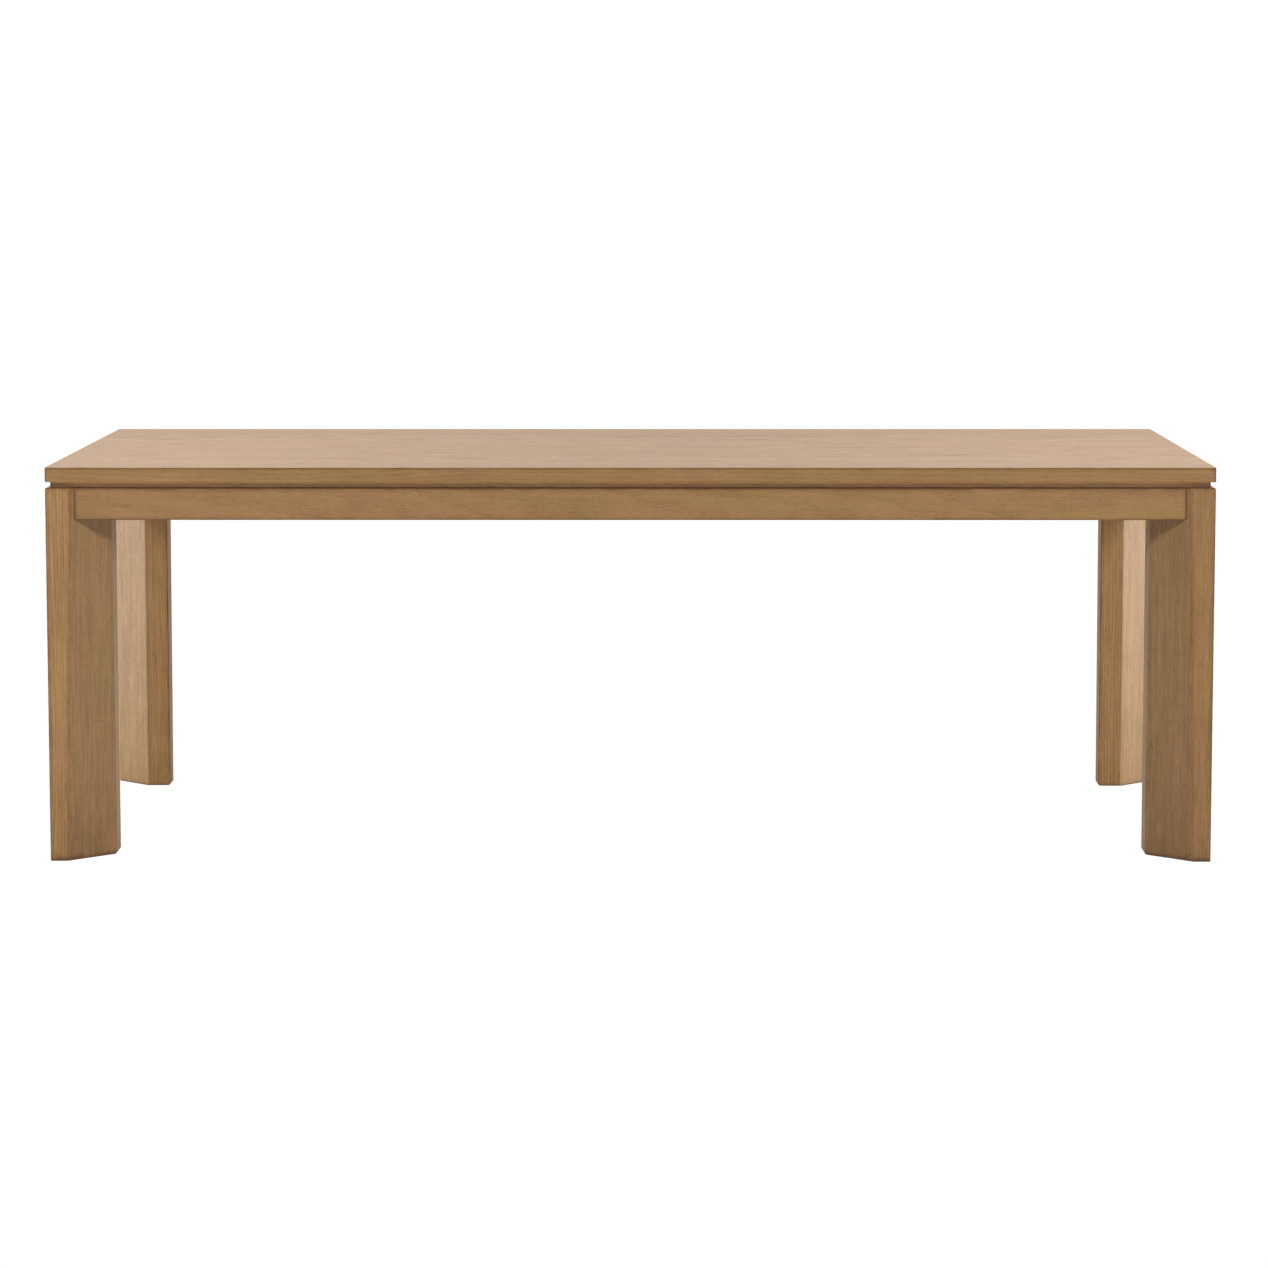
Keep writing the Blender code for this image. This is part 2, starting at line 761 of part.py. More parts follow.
def make_table():
    places = screw_places()
    screw_bores = make_screw_bores(places)
    make_top_veneer()
    make_top_core(screw_bores)
    make_lippings()
    make_reveal_strips(screw_bores)
    make_aprons()
    make_cross_rails(screw_bores)
    make_screws(places)
    bolt = bolt_mesh()
    nut = nut_mesh()
    block_blank = block_mesh()
    glide_meshes = (insert_mesh(), stem_mesh(), pad_mesh(), foot_bore_mesh())
    for corner in CORNERS:
        frame = make_corner_frame(corner)
        leg = make_leg(corner)
        block = make_corner_block(corner, frame, block_blank)
        make_leg_fixings(corner, frame, leg, block, bolt, nut)
        cut(block, screw_bores[corner])
        make_glide(corner, leg, *glide_meshes)


make_table()
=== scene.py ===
"""Looks of the communion table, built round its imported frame.

The oak pieces are made again here with finely rounded arrises, in the places the frame gives, and
so is the hardware that shows from below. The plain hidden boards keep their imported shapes. Every
material is made of nodes: oak, softwood and board are solid textures in each board's own space, so
the grain runs along the board and shows its rings on the end.

Units are metres and +Z is up. +X runs along the table's length and the front faces -Y.
"""

import math

import bmesh
import bpy
from mathutils import Matrix, Vector


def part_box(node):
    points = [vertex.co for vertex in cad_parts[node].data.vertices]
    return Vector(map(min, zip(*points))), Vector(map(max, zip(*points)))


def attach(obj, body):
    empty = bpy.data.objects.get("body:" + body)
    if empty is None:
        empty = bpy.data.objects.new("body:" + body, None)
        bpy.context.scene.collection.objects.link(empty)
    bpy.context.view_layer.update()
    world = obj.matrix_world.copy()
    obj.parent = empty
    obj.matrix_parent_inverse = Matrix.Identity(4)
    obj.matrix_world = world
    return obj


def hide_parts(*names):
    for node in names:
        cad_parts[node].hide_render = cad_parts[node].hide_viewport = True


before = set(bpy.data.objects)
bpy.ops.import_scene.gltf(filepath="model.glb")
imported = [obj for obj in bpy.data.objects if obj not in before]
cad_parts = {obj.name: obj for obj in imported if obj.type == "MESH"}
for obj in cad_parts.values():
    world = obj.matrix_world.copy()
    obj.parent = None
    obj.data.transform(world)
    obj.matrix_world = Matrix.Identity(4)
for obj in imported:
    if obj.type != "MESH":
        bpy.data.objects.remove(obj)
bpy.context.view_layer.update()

MM = 0.001
X = Vector((1, 0, 0))
Y = Vector((0, 1, 0))
Z = Vector((0, 0, 1))

CORNERS = {
    "front_left": (-1, -1),
    "front_right": (1, -1),
    "back_left": (-1, 1),
    "back_right": (1, 1),
}
SIDES = {"front": (0, -1), "back": (0, 1), "left": (-1, 0), "right": (1, 0)}

# Roundings of the visible arrises
ARRIS_STEPS = 4
SLAB_CORNER_RADIUS = 2 * MM
SLAB_ARRIS_RADIUS = 1 * MM
APRON_RADIUS = 1.5 * MM
LEG_RADIUS = 2.5 * MM
FOOT_RADIUS = 6 * MM

# Edges that turn more than this are sharp
WOOD_SMOOTH_ANGLE = math.radians(40)
METAL_SMOOTH_ANGLE = math.radians(32)

# Depths under each face where a loop of edges keeps the flat faces flat and bounds the worn band
LOOP_DEPTHS = (3 * MM, 8 * MM, 16 * MM)
WEAR_REACH = 16 * MM

# How much a blunt arris counts, and how far painted shade reaches up the feet and down from the
# aprons' tops
BLUNT_WEAR = 0.85
FOOT_SHADE_REACH = 65 * MM
BACK_FOOT_SHADE_REACH = 25 * MM
APRON_TOP_SHADE_REACH = 24 * MM

# Flats beside a leg's outer corner: on the long side the flat narrows towards the floor. The
# notch for the corner block has this room below it, and parts that fit have this play
LEG_FLAT = 47 * MM
LEG_END_FLAT = 72 * MM
LEG_FLAT_AT_FLOOR = 33.5 * MM
LEG_NOTCH_ROOM = 1.5 * MM
FIT = 0.3 * MM


# Mesh building


def new_object(name, data):
    piece = bpy.data.objects.new(name, data)
    bpy.context.scene.collection.objects.link(piece)
    return piece


def mesh_from(shape, name):
    mesh = bpy.data.meshes.new(name)
    shape.to_mesh(mesh)
    shape.free()
    return mesh


def box_between(low, high):
    low = Vector(low)
    high = Vector(high)
    shape = bmesh.new()
    bmesh.ops.create_cube(shape, size=1)
    bmesh.ops.scale(shape, vec=high - low, verts=shape.verts)
    bmesh.ops.translate(shape, vec=(low + high) / 2, verts=shape.verts)
    return shape


def slice_off(shape, point, normal):
    """Removes what lies on the normal's side of a plane and closes the cut."""
    whole = shape.verts[:] + shape.edges[:] + shape.faces[:]
    cut = bmesh.ops.bisect_plane(
        shape, geom=whole, plane_co=point, plane_no=normal, clear_outer=True
    )
    rim = [item for item in cut["geom_cut"] if isinstance(item, bmesh.types.BMEdge)]
    bmesh.ops.contextual_create(shape, geom=rim)


def round_edges(shape, edges, radius, steps=ARRIS_STEPS):
    bmesh.ops.bevel(
        shape, geom=edges, offset=radius, segments=steps, profile=0.5, affect="EDGES"
    )


def upright_edges(shape):
    return [e for e in shape.edges if abs((e.verts[0].co - e.verts[1].co).z) > FIT]


def edges_at_height(shape, height):
    return [e for e in shape.edges if all(abs(v.co.z - height) < FIT / 2 for v in e.verts)]


def face_planes(shape):
    """A point on and the outward normal of each face of a plain blank."""
    shape.normal_update()
    return [(f.calc_center_median(), f.normal.copy()) for f in shape.faces]


def add_loops(shape, planes):
    """Edge loops at set depths under the blank's faces."""
    for point, normal in planes:
        for depth in LOOP_DEPTHS:
            whole = shape.verts[:] + shape.edges[:] + shape.faces[:]
            bmesh.ops.bisect_plane(
                shape, geom=whole, plane_co=point - normal * depth, plane_no=normal
            )


def mark_wear_and_shade(mesh, planes, rim=None, shade_reach=1.0):
    """Stores how near each vertex is to an arris: 1 on it, 0 at the wear's reach and beyond.

    A vertex lies on one plane, and its distance from the others is what counts. Those that
    meet it bluntly count for less. Next to a rim, if its height is given, the value also rises as
    painted shade: at the feet near the floor, and at the aprons' tops under the slab.
    """
    wear_and_shade = mesh.attributes.new("wear_and_shade", "FLOAT", "POINT")
    for vertex in mesh.vertices:
        depths = sorted((abs((p - vertex.co).dot(n)), order) for order, (p, n) in enumerate(planes))
        own = planes[depths[0][1]][1]
        share = 0.0
        for depth, order in depths[1:]:
            weight = BLUNT_WEAR if planes[order][1].dot(own) > 0.5 else 1.0
            share = max(share, weight * (1 - depth / WEAR_REACH))
        if rim is not None:
            share = max(share, 1 - abs(vertex.co.z - rim) / shade_reach)
        wear_and_shade.data[vertex.index].value = share


def stand_in(name, mesh, body, material, smooth_angle):
    """Makes the mesh a smooth-shaded piece that stands for the CAD node of the same name."""
    mesh.materials.append(material)
    mesh.shade_smooth()
    mesh.set_sharp_from_angle(angle=smooth_angle)
    piece = new_object(name + "_finished", mesh)
    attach(piece, body)
    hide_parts(name)
    return piece


def finish_wood(name, mesh, material):
    """A board on the frame. Its wide faces set the normals, so that they are shaded flat."""
    piece = stand_in(name, mesh, "frame", material, WOOD_SMOOTH_ANGLE)
    normals = piece.modifiers.new("even_normals", "WEIGHTED_NORMAL")
    normals.keep_sharp = True


# Node materials


class Nodes:
    """A short way to write a node tree: most methods add nodes and return an output."""

    def __init__(self, tree):
        self.tree = tree

    def add(self, kind, **settings):
        node = self.tree.nodes.new(kind)
        for key, value in settings.items():
            setattr(node, key, value)
        return node

    def feed(self, socket, value):
        if isinstance(value, bpy.types.NodeSocket):
            self.tree.links.new(value, socket)
        else:
            socket.default_value = value

    def feed_all(self, node, *values):
        for socket, value in zip(node.inputs, values):
            self.feed(socket, value)

    def math(self, operation, first, second=0.0, clamp=False):
        node = self.add("ShaderNodeMath", operation=operation, use_clamp=clamp)
        self.feed_all(node, first, second)
        return node.outputs[0]

    def vector(self, operation, first, second):
        node = self.add("ShaderNodeVectorMath", operation=operation)
        self.feed_all(node, first, second)
        return node.outputs["Value" if operation in ("DOT_PRODUCT", "LENGTH") else "Vector"]

    def times(self, value, factor, clamp=False):
        return self.math("MULTIPLY", value, factor, clamp)

    def plus(self, value, other):
        return self.math("ADD", value, other)

    def noise(self, place, scale, detail=2.0, roughness=0.5, distortion=0.0):
        """Noise of about -1 to 1, its features 1/scale metres long on each axis."""
        stretched = self.vector("MULTIPLY", place, scale)
        node = self.add("ShaderNodeTexNoise")
        self.feed(node.inputs["Vector"], stretched)
        self.feed(node.inputs["Scale"], 1.0)
        self.feed(node.inputs["Detail"], detail)
        self.feed(node.inputs["Roughness"], roughness)
        self.feed(node.inputs["Distortion"], distortion)
        return self.times(self.math("SUBTRACT", node.outputs[0], 0.5), 4.0)

    def ramp(self, value, low, high, start=0.0, end=1.0):
        """A smooth step from start to end as value goes from low to high."""
        node = self.add("ShaderNodeMapRange", interpolation_type="SMOOTHSTEP")
        self.feed_all(node, value, low, high, start, end)
        return node.outputs[0]

    def blend(self, share, first, second, mode="MIX"):
        node = self.add("ShaderNodeMix", data_type="RGBA", blend_type=mode)
        self.feed(node.inputs[0], share)
        self.feed(node.inputs[6], first)
        self.feed(node.inputs[7], second)
        return node.outputs[2]

    def stain(self, color, by, share):
        """A colour multiplied by another one, as far as the share says."""
        return self.blend(share, color, self.blend(1.0, color, by, "MULTIPLY"))

    def separate(self, vector):
        node = self.add("ShaderNodeSeparateXYZ")
        self.feed(node.inputs[0], vector)
        return node.outputs

    def combine(self, x, y, z):
        node = self.add("ShaderNodeCombineXYZ")
        self.feed_all(node, x, y, z)
        return node.outputs[0]

    def bump(self, shader, height, strength, distance):
        """Gives the shader bumps from a height field, at a distance in metres."""
        node = self.add("ShaderNodeBump")
        self.feed(node.inputs["Strength"], strength)
        self.feed(node.inputs["Distance"], distance)
        self.feed(node.inputs["Height"], height)
        self.feed(shader.inputs["Normal"], node.outputs[0])

    def emission(self, strength):
        """White light, seen as it is."""
        node = self.add("ShaderNodeEmission")
        self.feed_all(node, (1, 1, 1, 1), strength)
        return node.outputs[0]

    def mix_shaders(self, share, first, second):
        node = self.add("ShaderNodeMixShader")
        self.feed_all(node, share, first, second)
        return node.outputs[0]

    def object_place(self):
        return self.add("ShaderNodeTexCoord").outputs["Object"]

    def sum(self, *terms):
        total = terms[0]
        for term in terms[1:]:
            total = self.plus(total, term)
        return total


def new_group(name, inputs, outputs):
    """A node group with its interface, a Nodes helper and the group's input and output nodes."""
    tree = bpy.data.node_groups.new(name, "ShaderNodeTree")
    for title, kind in inputs:
        tree.interface.new_socket(title, in_out="INPUT", socket_type=kind)
    for title, kind in outputs:
        tree.interface.new_socket(title, in_out="OUTPUT", socket_type=kind)
    nodes = Nodes(tree)
    given = nodes.add("NodeGroupInput")
    made = nodes.add("NodeGroupOutput")
    return tree, nodes, given, made


def new_material(name):
    material = bpy.data.materials.new(name)
    material.use_nodes = True
    shader = material.node_tree.nodes["Principled BSDF"]
    return material, Nodes(material.node_tree), shader


def board_place(nodes, along, across, start):
    """A point in a board's own space: x along the grain, y across the face, z through it."""
    place = nodes.object_place()
    axes = (along, across, along.cross(across))
    turned_place = nodes.combine(*[nodes.vector("DOT_PRODUCT", place, axis) for axis in axes])
    return nodes.vector("ADD", turned_place, start)


# Oak: light and dark wood, the two casts its colour wanders between, and its pores
OAK_LIGHT = (0.475, 0.272, 0.109, 1)
OAK_DARK = (0.305, 0.160, 0.053, 1)
OAK_PINK = (1.02, 0.985, 1.05, 1)
OAK_OLIVE = (0.98, 1.01, 0.94, 1)
OAK_PORE = (0.55, 0.47, 0.39, 1)
# Rubbed arrises and their dark line; the same colours paint shade at the feet and below the aprons'
# tops
OAK_WORN_AND_SHADED = (0.74, 0.68, 0.60, 1)
OAK_EDGE_AND_SHADE = (0.52, 0.43, 0.34, 1)


def oak_group():
    """Oak with growth rings round a heart line, short pores, streaks, and wandering colour."""
    tree, nodes, given, made = new_group(
        "oak",
        (
            ("Place", "NodeSocketVector"),
            ("Heart", "NodeSocketVector"),
            ("Ring Strength", "NodeSocketFloat"),
            ("Streak Strength", "NodeSocketFloat"),
        ),
        (
            ("Color", "NodeSocketColor"),
            ("Roughness", "NodeSocketFloat"),
            ("Height", "NodeSocketFloat"),
        ),
    )
    place = given.outputs["Place"]

    wander = nodes.noise(place, (1.3, 5.0, 5.0), 2.0)
    ripple = nodes.noise(place, (9.0, 40.0, 40.0), 2.0)
    from_heart = nodes.vector("SUBTRACT", place, given.outputs["Heart"])
    radius = nodes.vector("LENGTH", nodes.vector("MULTIPLY", from_heart, (0.018, 1, 1)), (0, 0, 0))
    rings = nodes.sum(nodes.times(radius, 260.0), nodes.times(wander, 1.6), nodes.times(ripple, 0.16))
    year = nodes.math("FRACT", rings)
    spring = nodes.times(nodes.ramp(year, 0.0, 0.10), nodes.ramp(year, 0.22, 0.75, 1.0, 0.0))

    fine = nodes.noise(place, (75.0, 950.0, 950.0), 1.0)
    streak = nodes.noise(place, (16.0, 330.0, 330.0), 2.0)
    band = nodes.noise(place, (5.0, 120.0, 120.0), 2.0)
    broad = nodes.noise(place, (2.2, 26.0, 26.0), 3.0)
    blotch = nodes.noise(place, (14.0, 16.0, 16.0), 3.0)
    mottle = nodes.noise(place, (80.0, 120.0, 120.0), 1.0)
    pore_field = nodes.noise(place, (95.0, 2300.0, 2300.0), 0.0)
    pore_edge = nodes.math("SUBTRACT", 0.75, nodes.times(spring, 0.45))
    pore = nodes.ramp(nodes.math("SUBTRACT", pore_field, pore_edge), 0.0, 0.28)

    tone = nodes.sum(
        0.52,
        nodes.times(fine, 0.11),
        nodes.times(nodes.times(streak, 0.12), given.outputs["Streak Strength"]),
        nodes.times(nodes.times(band, 0.10), given.outputs["Streak Strength"]),
        nodes.times(broad, 0.09),
        nodes.times(blotch, 0.13),
        nodes.times(mottle, 0.08),
        nodes.times(nodes.times(spring, -0.45), given.outputs["Ring Strength"]),
    )
    wood = nodes.blend(nodes.times(tone, 1.0, clamp=True), OAK_DARK, OAK_LIGHT)
    cast = nodes.ramp(nodes.noise(place, (4.0, 30.0, 30.0), 2.0), -0.9, 0.9)
    wood = nodes.blend(1.0, wood, nodes.blend(cast, OAK_OLIVE, OAK_PINK), "MULTIPLY")
    wood = nodes.stain(wood, OAK_PORE, nodes.times(pore, 0.55))

    # The attribute read here is wear at the arrises and painted shade at the feet and below the aprons'
    # tops
    wear_and_shade = nodes.add("ShaderNodeAttribute", attribute_name="wear_and_shade").outputs["Fac"]
    patch = nodes.noise(place, (30.0, 90.0, 90.0), 2.0)
    rub_and_shade = nodes.ramp(nodes.plus(wear_and_shade, nodes.times(patch, 0.10)), 0.55, 1.0)
    wood = nodes.stain(wood, OAK_WORN_AND_SHADED, nodes.times(rub_and_shade, 0.85))
    edge_line_and_shade = nodes.ramp(nodes.plus(wear_and_shade, nodes.times(patch, 0.04)), 0.84, 0.97)
    wood = nodes.stain(wood, OAK_EDGE_AND_SHADE, nodes.times(edge_line_and_shade, 0.8))

    gloss = nodes.sum(
        0.47,
        nodes.times(broad, 0.025),
        nodes.times(pore, 0.18),
        nodes.times(spring, 0.05),
        nodes.times(rub_and_shade, -0.07),
    )
    relief = nodes.sum(
        nodes.times(pore, -0.6),
        nodes.times(fine, 0.10),
        nodes.times(spring, -0.25),
        nodes.times(streak, 0.08),
    )
    nodes.feed(made.inputs["Color"], wood)
    nodes.feed(made.inputs["Roughness"], gloss)
    nodes.feed(made.inputs["Height"], relief)
    return tree


OAK = oak_group()
OAK_BUMP = (0.35, 0.10 * MM)

# Painted shade and light: the strips darken to this share towards the aprons, and the legs' faces
# planed off at 45 degrees are painted darker than their flats, which are painted a little lighter
PAINTED_SHADE_LEVEL = 0.36
FLAT_PAINTED_LIGHT = 1.045
OBLIQUE_PAINTED_SHADE = 0.105


def add_oak(nodes, place, heart, rings, streaks):
    oak = nodes.add("ShaderNodeGroup", node_tree=OAK)
    nodes.feed_all(oak, place, heart, rings, streaks)
    return oak.outputs


def oak_material(
    name,
    along,
    across,
    start,
    heart,
    painted_light_tint=(1, 1, 1),
    rings=0.5,
    streaks=1.0,
    painted_shade_heights=None,
    shade_oblique_faces=False,
):
    """Oak for one board: its grain's directions, where it was cut from, and a painted light tint.

    A low and a high height for the foot give painted shade, darker from the high one down. With
    the oblique faces shaded, faces planed off at 45 degrees are painted darker, the flats lighter.
    """
    material, nodes, shader = new_material(name)
    oak = add_oak(nodes, board_place(nodes, along, across, start), heart, rings, streaks)
    # The tint paints light or shade over the whole board
    color = nodes.blend(1.0, oak["Color"], (*painted_light_tint, 1), "MULTIPLY")
    # Painted shade: darker towards the foot, between the two heights
    if painted_shade_heights:
        height = nodes.vector("DOT_PRODUCT", nodes.object_place(), Z)
        kept = nodes.ramp(height, *painted_shade_heights, PAINTED_SHADE_LEVEL, 1.0)
        color = nodes.blend(1.0, color, kept, "MULTIPLY")
    # Painted shade on the faces turned 45 degrees, and painted light on the flats
    if shade_oblique_faces:
        facing = nodes.separate(nodes.add("ShaderNodeNewGeometry").outputs["Normal"])
        skew = nodes.times(nodes.math("ABSOLUTE", nodes.times(facing[0], facing[1])), 2.0)
        kept = nodes.math("SUBTRACT", FLAT_PAINTED_LIGHT, nodes.times(skew, OBLIQUE_PAINTED_SHADE))
        color = nodes.blend(1.0, color, kept, "MULTIPLY")
    nodes.feed(shader.inputs["Base Color"], color)
    nodes.feed(shader.inputs["Roughness"], oak["Roughness"])
    nodes.bump(shader, oak["Height"], *OAK_BUMP)
    return material


# Veneer leaves: how far apart they are taken from the log along it and through it, where the
# heart line lies under the first one, and how far it sways from leaf to leaf
LEAF_SHIFT = 3.7
LEAF_SINK = 0.9
LEAF_HEART = (1.9, 0.70)
LEAF_SWAY = 0.05


def veneer_material(name, leaf_width):
    """Oak veneer: crown-cut leaves side by side, each with its own heart line and place."""
    material, nodes, shader = new_material(name)
    parts = nodes.separate(nodes.object_place())
    leaf_share = nodes.plus(nodes.math("DIVIDE", parts[1], leaf_width), 0.5)
    leaf = nodes.math("FLOOR", leaf_share)
    shift = nodes.times(leaf, LEAF_SHIFT)
    sink = nodes.times(leaf, LEAF_SINK)
    sway = nodes.math("SINE", nodes.times(leaf, 2.4))
    within = nodes.times(nodes.math("SUBTRACT", leaf_share, nodes.plus(leaf, 0.5)), leaf_width)
    place = nodes.combine(nodes.plus(parts[0], shift), within, nodes.plus(parts[2], sink))
    heart_x, heart_z = LEAF_HEART
    heart = nodes.combine(
        nodes.plus(shift, heart_x), nodes.times(sway, LEAF_SWAY), nodes.plus(sink, heart_z)
    )
    oak = add_oak(nodes, place, heart, rings=0.9, streaks=1.5)
    fleck = nodes.ramp(nodes.noise(place, (8.0, 42.0, 42.0), 2.0), 0.35, 1.2)
    figure = nodes.noise(place, (14.0, 55.0, 55.0), 1.0)
    shade = nodes.sum(
        1.05,
        nodes.times(sway, 0.02),
        nodes.times(fleck, -0.36),
        nodes.times(figure, 0.035),
    )
    nodes.feed(shader.inputs["Base Color"], nodes.blend(1.0, oak["Color"], shade, "MULTIPLY"))
    nodes.feed(shader.inputs["Roughness"], oak["Roughness"])
    nodes.bump(shader, oak["Height"], *OAK_BUMP)
    return material


PINE_LATE_WOOD = (0.40, 0.22, 0.10, 1)
PINE_EARLY_WOOD = (0.66, 0.47, 0.27, 1)


def softwood_material(name, along, across, start):
    """Sawn pine: pale wood, darker late wood in each ring, saw marks and rough fibres."""
    material, nodes, shader = new_material(name)
    place = board_place(nodes, along, across, start)
    wander = nodes.noise(place, (1.5, 7.0, 7.0), 2.0)
    radius = nodes.vector("LENGTH", nodes.vector("MULTIPLY", place, (0.01, 1, 1)), (0, 0, 0))
    year = nodes.math("FRACT", nodes.plus(nodes.times(radius, 210.0), wander))
    late = nodes.times(nodes.ramp(year, 0.35, 0.9), nodes.ramp(year, 0.93, 1.0, 1.0, 0.0))
    fibre = nodes.noise(place, (20.0, 700.0, 700.0), 2.0)
    broad = nodes.noise(place, (3.0, 30.0, 30.0), 2.0)
    saw = nodes.noise(place, (420.0, 3.0, 3.0), 1.0)
    tone = nodes.sum(0.6, nodes.times(late, -0.55), nodes.times(fibre, 0.09), nodes.times(broad, 0.09))
    shown = nodes.times(tone, 1.0, clamp=True)
    nodes.feed(shader.inputs["Base Color"], nodes.blend(shown, PINE_LATE_WOOD, PINE_EARLY_WOOD))
    nodes.feed(shader.inputs["Roughness"], nodes.plus(0.74, nodes.times(fibre, 0.04)))
    nodes.bump(shader, nodes.plus(nodes.times(saw, 0.5), nodes.times(fibre, 0.4)), 0.5, 0.15 * MM)
    return material


CORE_DARK = (0.27, 0.175, 0.095, 1)
CORE_LIGHT = (0.43, 0.30, 0.18, 1)
CORE_SPECK = (0.16, 0.10, 0.055, 1)


def board_material(name):
    """Core board with a sealed brown underside: pressed fibres in all directions, fine specks."""
    material, nodes, shader = new_material(name)
    place = nodes.object_place()
    cloud = nodes.noise(place, (8.0, 11.0, 40.0), 4.0, 0.6)
    fibre = nodes.noise(place, (420.0, 230.0, 300.0), 3.0, 0.6, 0.8)
    speck = nodes.ramp(nodes.noise(place, (900.0, 700.0, 800.0), 1.0), 0.75, 1.1)
    tone = nodes.sum(0.5, nodes.times(cloud, 0.13), nodes.times(fibre, 0.20))
    color = nodes.blend(nodes.times(tone, 1.0, clamp=True), CORE_DARK, CORE_LIGHT)
    color = nodes.blend(nodes.times(speck, 0.5), color, CORE_SPECK)
    nodes.feed(shader.inputs["Base Color"], color)
    nodes.feed(shader.inputs["Roughness"], nodes.plus(0.68, nodes.times(fibre, 0.05)))
    nodes.bump(shader, fibre, 0.3, 0.05 * MM)
    return material


def metal_material(name, color, tarnish):
    """Plated steel: cloudy plating, tarnish in patches, and fine scratches."""
    material, nodes, shader = new_material(name)
    place = nodes.object_place()
    cloud = nodes.noise(place, (160.0, 160.0, 160.0), 3.0)
    scratch = nodes.noise(place, (2600.0, 500.0, 900.0), 1.0)
    patch = nodes.ramp(cloud, -0.2, 0.9)
    nodes.feed(shader.inputs["Base Color"], nodes.blend(nodes.times(patch, 0.7), color, tarnish))
    nodes.feed(shader.inputs["Metallic"], 1.0)
    gloss = nodes.sum(0.32, nodes.times(patch, 0.14), nodes.times(scratch, 0.04))
    nodes.feed(shader.inputs["Roughness"], gloss)
    nodes.bump(shader, scratch, 0.25, 0.03 * MM)
    return material


NYLON_DARK = (0.035, 0.030, 0.027, 1)
NYLON_SCUFFED = (0.085, 0.078, 0.070, 1)


def nylon_material(name):
    """Moulded nylon: dark, with a fine dimpled skin and scuffs."""
    material, nodes, shader = new_material(name)
    place = nodes.object_place()
    dimple = nodes.noise(place, (900.0, 900.0, 900.0), 2.0)
    scuff = nodes.ramp(nodes.noise(place, (260.0, 90.0, 200.0), 3.0), 0.2, 1.1)
    nodes.feed(shader.inputs["Base Color"], nodes.blend(scuff, NYLON_DARK, NYLON_SCUFFED))
    nodes.feed(shader.inputs["Roughness"], nodes.plus(0.50, nodes.times(scuff, 0.2)))
    nodes.bump(shader, dimple, 0.4, 0.05 * MM)
    return material


# The slab and the sub-frame under it


def ring_side(side, low, high, width, corner_radius=0.0, arris_radius=0.0):
    """One mitred side of a flat frame inside the box low to high, and its outer face planes."""
    shape = box_between(low, high)
    planes = face_planes(shape)
    if corner_radius:
        round_edges(shape, upright_edges(shape), corner_radius)
    if arris_radius:
        round_edges(shape, edges_at_height(shape, low.z), arris_radius, 3)
    side_x, side_y = side
    along = Vector((abs(side_y), abs(side_x), 0))
    outward = Vector((side_x, side_y, 0))
    reach = high.x if side_x else high.y
    run = high.y if side_x else high.x
    shown = [
        (point, normal)
        for point, normal in planes
        if normal.dot(outward) > 0.5 or normal.z < -0.5 or abs(normal.dot(along)) > 0.5
    ]
    add_loops(shape, shown)
    slice_off(shape, outward * (reach - width), -outward)
    for end in (-1, 1):
        corner = outward * reach + along * end * run
        mitre = (along * end - outward).normalized()
        slice_off(shape, corner - mitre * FIT / 2, mitre)
    return shape, shown


def whole_ring(prefix):
    """The box that holds the four sides of a ring."""
    low = Vector(map(min, *[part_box(prefix + side)[0] for side in SIDES]))
    high = Vector(map(max, *[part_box(prefix + side)[1] for side in SIDES]))
    return low, high


LIPPING_WIDTH = 20 * MM
VENEER_LEAVES = 6


def make_veneer():
    low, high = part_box("top_veneer")
    shape = box_between(low, high)
    round_edges(shape, upright_edges(shape), SLAB_CORNER_RADIUS)
    round_edges(shape, edges_at_height(shape, high.z), SLAB_ARRIS_RADIUS, 3)
    mesh = mesh_from(shape, "top_veneer")
    material = veneer_material("oak_veneer", (high.y - low.y) / VENEER_LEAVES)
    finish_wood("top_veneer", mesh, material)


def make_lippings():
    low, high = whole_ring("lipping_")
    for order, (name, side) in enumerate(SIDES.items()):
        shape, planes = ring_side(side, low, high, LIPPING_WIDTH, SLAB_CORNER_RADIUS, SLAB_ARRIS_RADIUS)
        title = "lipping_" + name
        mesh = mesh_from(shape, title)
        worn = [(point, normal) for point, normal in planes if normal.z > -0.5]
        mark_wear_and_shade(mesh, worn + [(high + Z * MM, Z)])
        along = Y if side[0] else X
        start = (order * 5.3, 0.4, 0)
        material = oak_material("oak_" + title, along, Z, start, heart=(0, 1.02, 0.30), rings=0.25)
        finish_wood(title, mesh, material)


# The strips are painted lighter against the slab's shadow on them, most of all the one in front,
# and painted shade darkens them between these two heights above their foot
STRIP_PAINTED_LIGHT = (1.40, 1.36, 1.36)
FRONT_STRIP_PAINTED_LIGHT = (1.90, 1.90, 2.05)
STRIP_SHADE_FULL_BELOW = 3 * MM
STRIP_SHADE_ENDS_ABOVE = 9 * MM


def make_reveal_strips():
    low, high = whole_ring("reveal_strip_")
    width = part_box("reveal_strip_front")[1].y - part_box("reveal_strip_front")[0].y
    for order, (name, side) in enumerate(SIDES.items()):
        shape, planes = ring_side(side, low, high, width)
        title = "reveal_strip_" + name
        mesh = mesh_from(shape, title)
        mark_wear_and_shade(mesh, planes)
        along = Y if side[0] else X
        start = (20 + order * 4.1, 0.2, 0)
        # Painted light lifts the strips out of the slab's shadow, and painted shade darkens their foot
        material = oak_material(
            "oak_" + title,
            along,
            Z,
            start,
            heart=(0, 0.7, 0.3),
            painted_light_tint=FRONT_STRIP_PAINTED_LIGHT if name == "front" else STRIP_PAINTED_LIGHT,
            rings=0.2,
            painted_shade_heights=(low.z + STRIP_SHADE_FULL_BELOW, low.z + STRIP_SHADE_ENDS_ABOVE),
        )
        finish_wood(title, mesh, material)


# Legs and aprons, in a corner's own frame: it starts under the slab's outer corner and runs inwards


